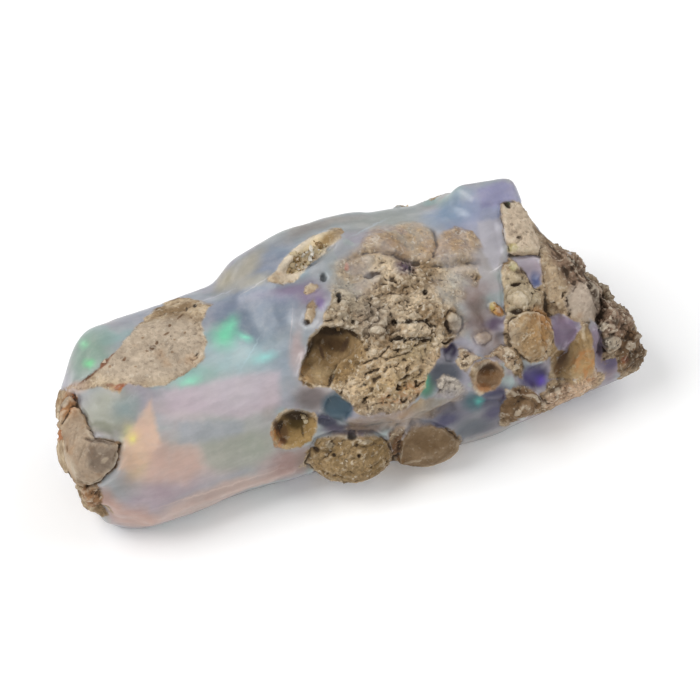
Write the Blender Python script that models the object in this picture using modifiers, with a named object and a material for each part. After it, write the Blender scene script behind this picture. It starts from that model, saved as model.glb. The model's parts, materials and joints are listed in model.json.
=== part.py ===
"""A rough opal specimen: one fused stone of precious opal with its tan host rock still on it.

Run with: blender --background --python part.py
Metres, +Z up. The stone lies on its flat underside with its length along X. The face that shows
the opal and the host rock looks towards -Y, a little to -X, and up. The origin is on the floor,
under the middle of the stone.
"""

import math
import random

import bmesh
import bpy
from mathutils import Matrix, Vector, noise
from mathutils.bvhtree import BVHTree

MM = 0.001

NAME = "rough_opal"

# The grid that the lumps of stone are fused on, and how many times a fused surface is smoothed:
# the bare body, the body with its nodules, and the body with its rubble.
VOXEL = 0.26 * MM
BODY_SMOOTHING = 12
NODULE_SMOOTHING = 3
RUBBLE_SMOOTHING = 1

# The triangles that the finished stone keeps, and the length under which an edge is taken away.
TRIANGLES = 9700
SHORTEST_EDGE = 0.03 * MM

# How often a sphere's faces are parted, for a nodule or hollow and for a piece of rubble.
NODULE_FINENESS = 4
RUBBLE_FINENESS = 2

# The stone is looked at squarely from each of these sides: (turn, tilt) in degrees. A mark on a
# side is placed by (across, up) in mm from a point over the origin.
SIDES = {
    "front": (-25.8, 50),
    "right": (80, 10),
    "left": (-85, 0),
    "back": (172, 20),
}
SIDE_HEIGHT = 7.0 * MM
SIDE_REACH = 60 * MM

# A barrel is an outline in the (y, z) plane run through rings, each (x, y shift, z shift, width
# scale, height scale). Its underside is left below the floor, where the flat base cuts it off.
LEFT_OUTLINE = (
    (-2.2, -1.0), (-3.8, 0.8), (-5.2, 3.0), (-5.0, 6.0), (-3.2, 9.2), (0.4, 11.2),
    (3.8, 11.9), (6.9, 10.5), (8.0, 6.6), (7.2, 2.6), (5.2, 0.5), (4.4, -1.0),
)
LEFT_RINGS = (
    (-20.7, -0.5, 2.4, 0.50, 0.46),
    (-19.6, -0.2, 1.0, 0.80, 0.80),
    (-17.0, 0.0, 0.1, 1.00, 1.00),
    (-9.0, 0.0, 0.0, 1.00, 0.98),
    (-3.0, -0.1, -0.1, 1.00, 0.95),
)
RIGHT_OUTLINE = (
    (-4.1, -1.0), (-5.8, 0.8), (-7.1, 3.0), (-6.9, 6.2), (-4.8, 9.4), (-0.8, 12.2),
    (4.0, 13.6), (7.9, 12.1), (9.3, 7.4), (8.6, 3.0), (6.4, 0.5), (5.4, -1.0),
)
RIGHT_RINGS = (
    (-7.8, 1.2, 0.4, 0.68, 0.78),
    (-5.2, 1.0, 0.2, 0.84, 0.92),
    (-2.0, 0.6, 0.0, 0.93, 0.99),
    (3.2, -0.1, 0.0, 1.00, 0.99),
    (7.6, -0.7, -0.2, 0.95, 0.89),
    (15.0, -0.8, 0.0, 0.89, 0.82),
    (21.6, -1.2, 0.2, 0.83, 0.72),
)
PEAK_CORNERS = (
    (9.2, 2.0, 9.6), (15.6, 0.6, 9.4), (9.2, 6.6, 8.6), (15.6, 5.0, 9.0),
    (10.6, 5.9, 13.4), (12.6, 5.5, 13.5), (14.9, 4.8, 13.0), (11.4, 3.6, 13.3), (14.8, 3.0, 12.4),
)

# Flat breaks: (a point on the break in mm, the way the lost piece lay).
RIGHT_BREAKS = (
    ((17.6, 0.0, 7.0), (0.89, 0.13, 0.43)),
    ((19.8, 0.0, 2.6), (0.97, 0.06, -0.20)),
    ((18.7, 0.0, 1.6), (0.78, 0.04, -0.62)),
    ((17.0, 7.2, 5.0), (0.50, 0.84, 0.10)),
    ((8.0, 8.6, 3.0), (0.10, 0.80, -0.58)),
)
LEFT_BREAKS = (
    ((-19.4, 6.2, 9.7), (-0.80, 0.25, 0.55)),
    ((-16.8, -5.0, 2.0), (-0.62, -0.70, -0.30)),
    ((-19.6, 2.0, 1.4), (-0.75, 0.10, -0.65)),
    ((-15.0, 7.4, 5.0), (-0.30, 0.94, 0.12)),
)

# Nodules of host rock, in the surface of one side: (across, up, half length, half width, half
# depth, turn in degrees, rise). Rise is how far the middle of the nodule stands above the surface.
# All but the turn are in mm.
NODULES = {
    "front": {
        "left_knob": (-17.0, -7.2, 2.4, 2.2, 1.6, 0, 0.1),
        "left_upper_knob": (-18.5, -4.6, 1.1, 1.6, 1.2, 10, 0.1),
        "left_sandy_knob": (-17.3, -9.6, 1.2, 0.9, 0.7, -40, 0.0),
        "central_mass": (3.2, 0.2, 6.4, 5.2, 2.0, 12, -1.2),
        "mass_left": (-0.6, 1.9, 2.6, 2.4, 1.2, 0, -0.5),
        "oval": (0.2, -7.4, 2.8, 1.7, 1.6, -3, 0.0),
        "lens": (5.6, -6.7, 2.2, 1.5, 1.1, 20, 0.1),
        "orange": (12.0, 0.8, 1.7, 1.9, 1.1, 20, 0.0),
        "cream": (11.7, 3.2, 1.1, 1.0, 0.8, 0, 0.1),
        "slab_lump": (11.6, 8.6, 0.9, 1.3, 0.7, 0, 0.3),
        "triangle": (11.9, -3.5, 1.8, 1.1, 0.8, 25, 0.0),
        "cup_wall": (9.3, -1.8, 1.6, 1.5, 1.0, 0, 0.0),
        "right_shoulder": (13.8, 4.6, 1.1, 2.0, 0.8, 20, 0.0),
        "grey_lump": (16.1, 3.7, 1.2, 1.2, 0.9, 0, 0.1),
        "upper_pebble": (17.8, 2.4, 0.5, 0.5, 0.5, 0, 0.2),
        "middle_pebble": (17.6, 1.5, 0.6, 0.5, 0.5, 0, 0.2),
        "lower_pebble": (18.0, 0.6, 0.7, 0.6, 0.5, 0, 0.2),
        "upper_bump": (2.2, 6.9, 1.9, 1.2, 0.7, 15, -0.1),
        "right_bump": (6.5, 6.2, 2.1, 1.5, 0.8, 10, -0.1),
        "lower_bump": (6.3, 3.6, 2.8, 1.3, 0.8, 5, 0.0),
    },
}

# Angular pieces of host rock, each the lump that its corners span: (across, up, rise) in mm.
SHARD_ROOT = -1.0
SHARDS = {
    "front": {
        "slab": (
            (10.5, 10.1, 0.5), (11.8, 10.2, 0.4), (13.1, 7.1, 0.5), (12.8, 6.4, 0.8), (10.6, 6.4, 0.8),
        ),
        "fan": (
            (16.0, 1.4, 0.8), (13.9, -1.6, 0.1), (15.3, -2.1, 0.3), (16.9, -1.8, 0.6), (16.5, 0.3, 0.9),
        ),
        "ledge": (
            (-2.2, -4.3, 0.2), (2.0, -4.9, 0.5), (4.5, -4.5, 0.6), (7.2, -3.3, 0.3), (6.8, -2.4, 0.2),
            (2.0, -3.3, 0.5), (-1.8, -3.4, 0.1),
        ),
        "knob_cap": (
            (-17.4, -6.1, 1.2), (-15.3, -6.6, 0.5), (-15.8, -8.6, 0.6), (-17.2, -9.4, 1.0),
            (-18.0, -7.6, 1.4),
        ),
    },
}

# Hollows, in the same terms as the nodules.
HOLLOWS = {
    "front": {
        "big_hollow": (-1.2, -0.6, 2.2, 2.2, 2.0, 30, 0.4),
        "small_hollow": (-3.8, -5.2, 1.5, 1.3, 1.4, 20, 0.2),
        "cup": (9.3, -1.9, 1.1, 1.0, 1.2, 0, 0.3),
        "crystal_pocket": (-2.9, 6.2, 2.8, 0.8, 1.2, 38, 0.2),
        "window": (12.5, 5.1, 1.2, 0.9, 1.0, 0, 0.3),
        "blue_window": (-0.5, -3.5, 1.6, 1.1, 0.9, -20, 0.4),
        "lower_groove": (2.6, -5.0, 4.0, 0.6, 0.8, 8, 0.2),
        "fan_hollow": (14.7, -0.4, 0.7, 1.5, 0.8, -32, 0.4),
        "upper_pit": (-1.8, 4.9, 0.4, 0.5, 0.7, 0, 0.1),
        "middle_pit": (-0.8, 3.5, 0.4, 0.6, 0.6, 0, 0.1),
        "left_pit": (-2.8, 2.2, 0.4, 0.6, 0.6, 0, 0.1),
    },
}

# Rubble is many small lumps and pits, strewn over a patch of host rock: (side, across, up, half
# length, half width, turn in degrees, how many lumps, how many pits).
RUBBLE = (
    ("front", 2.6, 0.2, 6.0, 4.2, 12, 70, 22),
    ("front", 12.6, -0.2, 4.0, 3.6, 20, 40, 10),
    ("right", -1.0, -3.6, 6.0, 3.4, 0, 70, 18),
    ("left", 0.0, -3.0, 3.0, 2.4, 0, 12, 3),
    ("back", -8.0, -2.6, 5.0, 3.0, 0, 50, 14),
    ("back", 9.0, -3.6, 4.0, 2.2, 0, 30, 8),
)
RUBBLE_SIZE = (0.4, 1.2)
RUBBLE_LENGTHENING = (1.0, 2.2)
RUBBLE_FLATNESS = (0.40, 0.75)
RUBBLE_RISE = (-0.35, 0.0)
PIT_RISE = 0.3
RUBBLE_SEED = 11

# The broken surface: (size of a swell in mm, its height in mm).
SWELLS = ((9.0, 0.45), (3.2, 0.16), (1.3, 0.07))


def collection(name):
    """The scene's collection of this name, made if it isn't there yet."""
    found = bpy.data.collections.get(name)
    if found is None:
        found = bpy.data.collections.new(name)
        bpy.context.scene.collection.children.link(found)
    return found


def new_object(name, mesh):
    obj = bpy.data.objects.new(name, mesh)
    collection("cutters" if name == "cutter" else "rough_opal_specimen").objects.link(obj)
    return obj


def mesh_of(shape, name):
    """Ends a bmesh, and returns what it held as a mesh."""
    mesh = bpy.data.meshes.new(name)
    shape.to_mesh(mesh)
    shape.free()
    return mesh


def hull(corners, breaks=()):
    """The convex lump that these corners span, with a flat cap where each break took a piece off."""
    shape = bmesh.new()
    for corner in corners:
        shape.verts.new(Vector(corner) * MM)
    bmesh.ops.convex_hull(shape, input=shape.verts)
    inner = [v for v in shape.verts if not v.link_faces]
    bmesh.ops.delete(shape, geom=inner, context="VERTS")
    bmesh.ops.recalc_face_normals(shape, faces=shape.faces)
    for point, away in breaks:
        break_off(shape, Vector(point) * MM, Vector(away))
    return shape


def break_off(shape, point, away):
    """Cuts a closed bmesh by a plane, drops the side that lies away, and closes it with a flat face."""
    everything = shape.verts[:] + shape.edges[:] + shape.faces[:]
    cut = bmesh.ops.bisect_plane(
        shape, geom=everything, plane_co=point, plane_no=away, clear_outer=True
    )
    rim = [e for e in cut["geom_cut"] if isinstance(e, bmesh.types.BMEdge)]
    if rim:
        bmesh.ops.contextual_create(shape, geom=rim)
        bmesh.ops.recalc_face_normals(shape, faces=shape.faces)


def barrel(outline, rings):
    """The corners of an outline run through rings."""
    return [
        (x, y_shift + width * y, z_shift + height * z)
        for x, y_shift, z_shift, width, height in rings
        for y, z in outline
    ]


def fused(shapes, smoothing, name=NAME):
    """One closed object from overlapping closed bmeshes, its inner corners and edges softened."""
    whole = bmesh.new()
    for shape in shapes:
        piece = mesh_of(shape, name)
        whole.from_mesh(piece)
        bpy.data.meshes.remove(piece)
    stone = new_object(name, mesh_of(whole, name))
    remesh = stone.modifiers.new("fuse", "REMESH")
    remesh.mode = "VOXEL"
    remesh.voxel_size = VOXEL
    soften = stone.modifiers.new("soften", "SMOOTH")
    soften.iterations = smoothing
    return settled(stone)


def settled(obj):
    """The object with its modifiers applied."""
    graph = bpy.context.evaluated_depsgraph_get()
    mesh = bpy.data.meshes.new_from_object(obj.evaluated_get(graph))
    obj.modifiers.clear()
    obj.data = mesh
    return obj


def side_axes(side):
    """Across, up and out, as seen by someone who looks squarely at this side."""
    turn, tilt = (math.radians(angle) for angle in SIDES[side])
    across = Vector((math.cos(turn), math.sin(turn), 0))
    level_out = Vector((math.sin(turn), -math.cos(turn), 0))
    out = math.cos(tilt) * level_out + math.sin(tilt) * Vector((0, 0, 1))
    return across, out.cross(across), out


def on_side(tree, side, across_mm, up_mm):
    """The place of the stone's surface at this mark on a side, and the normal there."""
    across, up, out = side_axes(side)
    start = Vector((0, 0, SIDE_HEIGHT)) + (across_mm * across + up_mm * up) * MM + SIDE_REACH * out
    place, normal, _, _ = tree.ray_cast(start, -out)
    return place, normal


def ellipsoid(tree, fineness, side, across_mm, up_mm, half_length, half_width, half_depth, turn, rise):
    """An ellipsoid that lies in the surface of a side, as a bmesh, or None if the mark misses the stone."""
    place, normal = on_side(tree, side, across_mm, up_mm)
    if place is None:
        return None
    across, up, _ = side_axes(side)
    length_way = math.cos(math.radians(turn)) * across + math.sin(math.radians(turn)) * up
    length_way = (length_way - length_way.project(normal)).normalized()
    width_way = normal.cross(length_way)
    turned = Matrix((length_way, width_way, normal)).transposed().to_4x4()
    frame = Matrix.Translation(place + rise * MM * normal) @ turned
    frame @= Matrix.Diagonal((half_length * MM, half_width * MM, half_depth * MM, 1))
    shape = bmesh.new()
    bmesh.ops.create_icosphere(shape, subdivisions=fineness, radius=1, matrix=frame)
    return shape


def ellipsoids(tree, groups):
    """The ellipsoids of a table of nodules or hollows."""
    return [
        ellipsoid(tree, NODULE_FINENESS, side, *sizes)
        for side, group in groups.items()
        for sizes in group.values()
    ]


def shards(tree, groups):
    """The angular pieces of a table, each a hull from its raised corners down to its root in the stone."""
    shapes = []
    for side, group in groups.items():
        for corners in group.values():
            spanned = []
            for across_mm, up_mm, rise in corners:
                place, normal = on_side(tree, side, across_mm, up_mm)
                spanned += [place / MM + rise * normal, place / MM + SHARD_ROOT * normal]
            shapes.append(hull(spanned))
    return shapes


def strewn(tree, luck, patch, lumps_wanted):
    """The small lumps, or the pits, of one patch of rubble."""
    side, across_mm, up_mm, half_length, half_width, turn, lumps, pits = patch
    cos, sin = math.cos(math.radians(turn)), math.sin(math.radians(turn))
    shapes = []
    for _ in range(lumps if lumps_wanted else pits):
        way, reach = luck.uniform(0, math.tau), math.sqrt(luck.random())
        along = half_length * reach * math.cos(way)
        aside = half_width * reach * math.sin(way)
        size = luck.uniform(*RUBBLE_SIZE)
        length = size * luck.uniform(*RUBBLE_LENGTHENING)
        depth = size * luck.uniform(*RUBBLE_FLATNESS)
        piece_turn = luck.uniform(0, 180)
        rise = size * (luck.uniform(*RUBBLE_RISE) if lumps_wanted else PIT_RISE)
        mark = (across_mm + along * cos - aside * sin, up_mm + along * sin + aside * cos)
        shape = ellipsoid(tree, RUBBLE_FINENESS, side, *mark, length, size, depth, piece_turn, rise)
        if shape:
            shapes.append(shape)
    return shapes


def carve(stone, shapes):
    """Takes the shapes out of the stone."""
    cutter = fused(shapes, 0, "cutter")
    cut = stone.modifiers.new("carve", "BOOLEAN")
    cut.operation = "DIFFERENCE"
    cut.solver = "EXACT"
    cut.object = cutter
    settled(stone)
    bpy.data.objects.remove(cutter)


def taken(obj):
    """An object's mesh as a bmesh. The object is removed."""
    shape = bmesh.new()
    shape.from_mesh(obj.data)
    bpy.data.objects.remove(obj)
    return shape


def swell(stone):
    """Moves the surface in and out, as a broken natural surface lies."""
    mesh = stone.data
    moved = []
    for vertex in mesh.vertices:
        height = sum(
            rise * noise.noise(vertex.co / (size * MM) + Vector((size, 0, 0))) for size, rise in SWELLS
        )
        moved.append(vertex.co + vertex.normal * height * MM)
    for vertex, place in zip(mesh.vertices, moved):
        vertex.co = place
    mesh.update()


def thinned(stone):
    """Brings the stone down to the number of triangles that it keeps."""
    stone.data.update()
    now = sum(len(p.vertices) - 2 for p in stone.data.polygons)
    decimate = stone.modifiers.new("thin", "DECIMATE")
    decimate.ratio = TRIANGLES / now
    decimate.use_collapse_triangulate = True
    return settled(stone)


def part_of(start):
    """Every corner that is joined to this one by edges."""
    found, newest = {start}, {start}
    while newest:
        near = {edge.other_vert(vertex) for vertex in newest for edge in vertex.link_edges}
        newest = near - found
        found |= near
    return found


def sit_flat(stone):
    """Cuts the underside off at the floor, so that the stone has a flat base, and drops loose crumbs."""
    shape = taken(stone)
    break_off(shape, Vector((0, 0, 0)), Vector((0, 0, -1)))
    top = max(shape.verts, key=lambda vertex: vertex.co.z)
    whole = part_of(top)
    bmesh.ops.delete(shape, geom=[v for v in shape.verts if v not in whole], context="VERTS")
    bmesh.ops.dissolve_degenerate(shape, dist=SHORTEST_EDGE, edges=shape.edges)
    bmesh.ops.triangulate(shape, faces=shape.faces)
    return new_object(NAME, mesh_of(shape, NAME))


def stone_material():
    material = bpy.data.materials.new("opal_in_host_rock")
    material.use_nodes = True
    shader = material.node_tree.nodes["Principled BSDF"]
    shader.inputs["Base Color"].default_value = (0.45, 0.42, 0.40, 1)
    shader.inputs["Roughness"].default_value = 0.35
    shader.inputs["Metallic"].default_value = 0
    return material


def surface(obj):
    return BVHTree.FromObject(obj, bpy.context.evaluated_depsgraph_get())


def centred(stone):
    """Moves the stone so that the origin lies under its middle."""
    low = [min(v.co[axis] for v in stone.data.vertices) for axis in range(2)]
    high = [max(v.co[axis] for v in stone.data.vertices) for axis in range(2)]
    middle = Vector(((low[0] + high[0]) / 2, (low[1] + high[1]) / 2, 0))
    stone.data.transform(Matrix.Translation(-middle))


def main():
    for obj in list(bpy.data.objects):
        bpy.data.objects.remove(obj)
    lumps = [
        hull(barrel(LEFT_OUTLINE, LEFT_RINGS), LEFT_BREAKS),
        hull(barrel(RIGHT_OUTLINE, RIGHT_RINGS), RIGHT_BREAKS),
        hull(PEAK_CORNERS),
    ]
    stone = fused(lumps, BODY_SMOOTHING)
    tree = surface(stone)
    stone = fused([*ellipsoids(tree, NODULES), *shards(tree, SHARDS), taken(stone)], NODULE_SMOOTHING)
    tree = surface(stone)
    luck = random.Random(RUBBLE_SEED)
    nodules = []
    hollows = ellipsoids(tree, HOLLOWS)
    for patch in RUBBLE:
        nodules += strewn(tree, luck, patch, True)
        hollows += strewn(tree, luck, patch, False)
    stone = fused([taken(stone), *nodules], RUBBLE_SMOOTHING)
    carve(stone, hollows)
    stone = fused([taken(stone)], NODULE_SMOOTHING)
    swell(stone)
    thinned(stone)
    stone = sit_flat(stone)
    centred(stone)
    stone.data.materials.append(stone_material())


main()
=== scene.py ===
"""The look of a rough opal specimen: its opal with a play of colour, and its sandy host rock.

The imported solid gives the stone's shape and place. This script refines its surface, strews sand
on the host rock, grows crystals in its pocket, and sets up a plain stage. Lengths in tables are in
millimetres; objects are in metres.
"""

import json
import math

import bmesh
import bpy
import numpy as np
from bpy.props import FloatProperty, FloatVectorProperty, IntProperty, PointerProperty
from mathutils import Matrix, Vector
from mathutils.bvhtree import BVHTree

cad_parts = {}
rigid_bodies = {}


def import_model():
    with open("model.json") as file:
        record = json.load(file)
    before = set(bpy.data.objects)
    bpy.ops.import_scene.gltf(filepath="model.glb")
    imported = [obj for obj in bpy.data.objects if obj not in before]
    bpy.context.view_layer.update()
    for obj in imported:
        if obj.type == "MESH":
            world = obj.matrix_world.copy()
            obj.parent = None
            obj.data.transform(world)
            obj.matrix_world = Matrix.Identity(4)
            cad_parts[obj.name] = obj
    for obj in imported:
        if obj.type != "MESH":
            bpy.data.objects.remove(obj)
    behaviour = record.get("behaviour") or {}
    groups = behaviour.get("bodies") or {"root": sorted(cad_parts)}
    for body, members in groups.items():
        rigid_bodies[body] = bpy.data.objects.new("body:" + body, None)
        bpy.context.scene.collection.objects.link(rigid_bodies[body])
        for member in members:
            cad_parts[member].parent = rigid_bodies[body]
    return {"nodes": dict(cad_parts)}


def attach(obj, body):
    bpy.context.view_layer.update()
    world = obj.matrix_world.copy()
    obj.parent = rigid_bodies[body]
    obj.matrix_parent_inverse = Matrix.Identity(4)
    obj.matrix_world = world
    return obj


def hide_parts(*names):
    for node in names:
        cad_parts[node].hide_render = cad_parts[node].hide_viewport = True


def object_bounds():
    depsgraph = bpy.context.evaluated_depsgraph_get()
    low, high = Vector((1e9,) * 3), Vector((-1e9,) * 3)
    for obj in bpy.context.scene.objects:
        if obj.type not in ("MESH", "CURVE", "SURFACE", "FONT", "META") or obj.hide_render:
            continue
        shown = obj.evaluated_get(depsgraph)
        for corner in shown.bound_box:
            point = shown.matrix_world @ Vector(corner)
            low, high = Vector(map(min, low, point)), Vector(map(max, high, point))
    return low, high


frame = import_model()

bl_info = {
    "name": "Rough Opal",
    "version": (1, 0, 0),
    "blender": (4, 5, 0),
    "location": "3D View > Sidebar > Opal",
    "description": "Builds a rough opal with its host rock, and a stage for it",
    "category": "Add Mesh",
}

CAD_BOX = [list(corner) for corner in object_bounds()]
MM = 0.001
NODE = "rough_opal"
BODY = "root"

# Marks on the stone are placed by (across, up) in mm on one side of it, from this point inside it,
# along a ray that starts this far out.
MARKS_FROM = Vector((0.8115, -0.3845, 7.0))
MARKS_REACH = 60.0
# A patch is a flat ellipsoid round a mark: (across, up, half length, half width, turn in degrees), and
# its side where that isn't the front. All are this deep, in mm to each side.
PATCH_DEPTH = 2.6
# Further than anything is looked for, in mm or in cells.
FAR = 9.0
# How far round an outline points are looked at, and how fast it ends towards the back, in mm.
OUTLINE_REACH = 1.5
FACING_REACH = 5.0
# Where a form starts to rise inside its outline and where it is at full height, in mm.
OUTLINE_EDGE = (-0.05, 0.25)
# How far inside its outline a seam lies, and its width, in mm.
SEAM_PLACE, SEAM_WIDTH = -0.02, 0.13
# Between which turns of the surface, from away to squarely in front, marks on the front come in.
FRONT_FADE, RIM_FADE = (-0.3, 0.2), (-0.4, 0.1)
# How far the base fades in, in mm above the floor, so that the stone rests flat.
BASE_FADE = (0.0, 0.8)
# The turn of the rock's long grains, in degrees, and how much longer than wide they look.
GRAIN_LIE, GRAIN_DRAW = 28, 0.62
# How far each kind of relief stands out of the rock, in mm.
BROAD_RELIEF, CHIP_RELIEF, GRAIN_RELIEF, CREST_RELIEF, PIT_DEPTH = 0.10, 0.30, 0.10, 0.13, 0.40
# Rounds of smoothing for the opal and for the host rock.
OPAL_ROUNDS, ROCK_ROUNDS = 80, 3
# What a grid cell's numbers, the seed and the sum are multiplied by, and the bits that are kept.
CELL_FACTORS = (73856093, 19349663, 83492791)
SEED_FACTOR, MIX_FACTOR, KEPT_BITS = 2654435761, 1274126177, 0xFFFFFFFF
# How strongly patches of each kind cover what is under them.
FIRE_STRENGTH, FACET_STRENGTH, DEPTH_STRENGTH, FLASH_STRENGTH = 0.9, 0.8, 0.92, 0.6
TINT_STRENGTH, SPECK_STRENGTH, SPECK_SOFTNESS = 0.85, 0.9, 0.5

# Square lights: (metres away, turn and tilt in degrees, size in metres).
LIGHTS = {
    "key": (0.30, -105, 52, 0.20),
    "fill": (0.35, -5, 32, 0.30),
    "side": (0.30, 75, 50, 0.25),
}
FLOOR_SIZE, FLOOR_SHADES = 3, (0.93, 0.96)
BLACK, WHITE = (0.0, 0.0, 0.0, 1.0), (1, 1, 1, 1)

# Colours of the finishes, apart from those in the tables of patches.
COLOURS = {
    "opal_lilac": "#9D9AA4",
    "opal_grey": "#A2A8A8",
    "opal_rose": "#B3A5A2",
    "opal_teal": "#8FB3B0",
    "opal_milk": "#D8D2CE",
    "opal_scratch": "#E4E2E6",
    "rock_pale": "#BBA88D",
    "rock_dark": "#8B7355",
    "rock_rust": "#B0713A",
    "rock_speckle": "#5A4735",
    "rock_pale_grain": "#D6CBB8",
    "rock_stain": "#A9773F",
    # Painted shade in hollows, and darker rock along seams.
    "rock_shade_and_seams": "#493A2C",
    # Dirt and painted shade in the host rock's pits.
    "rock_pit_dirt_and_shade": "#33261B",
    # A painted highlight on the host rock's crests.
    "rock_crest_highlight": "#DDD0BA",
    "sand_glassy": "#DCD2C0",
    "crystal_honey": "#9A7C4E",
    "crystal_pale": "#D9C8A4",
    "crystal_clear": "#F4EFE4",
}

# Sides that marks are placed on: (turn, tilt) in degrees.
SIDES = {
    "front": (-25.8, 50),
    "right": (80, 10),
    "left": (-85, 0),
    "back": (172, 20),
}

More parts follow.
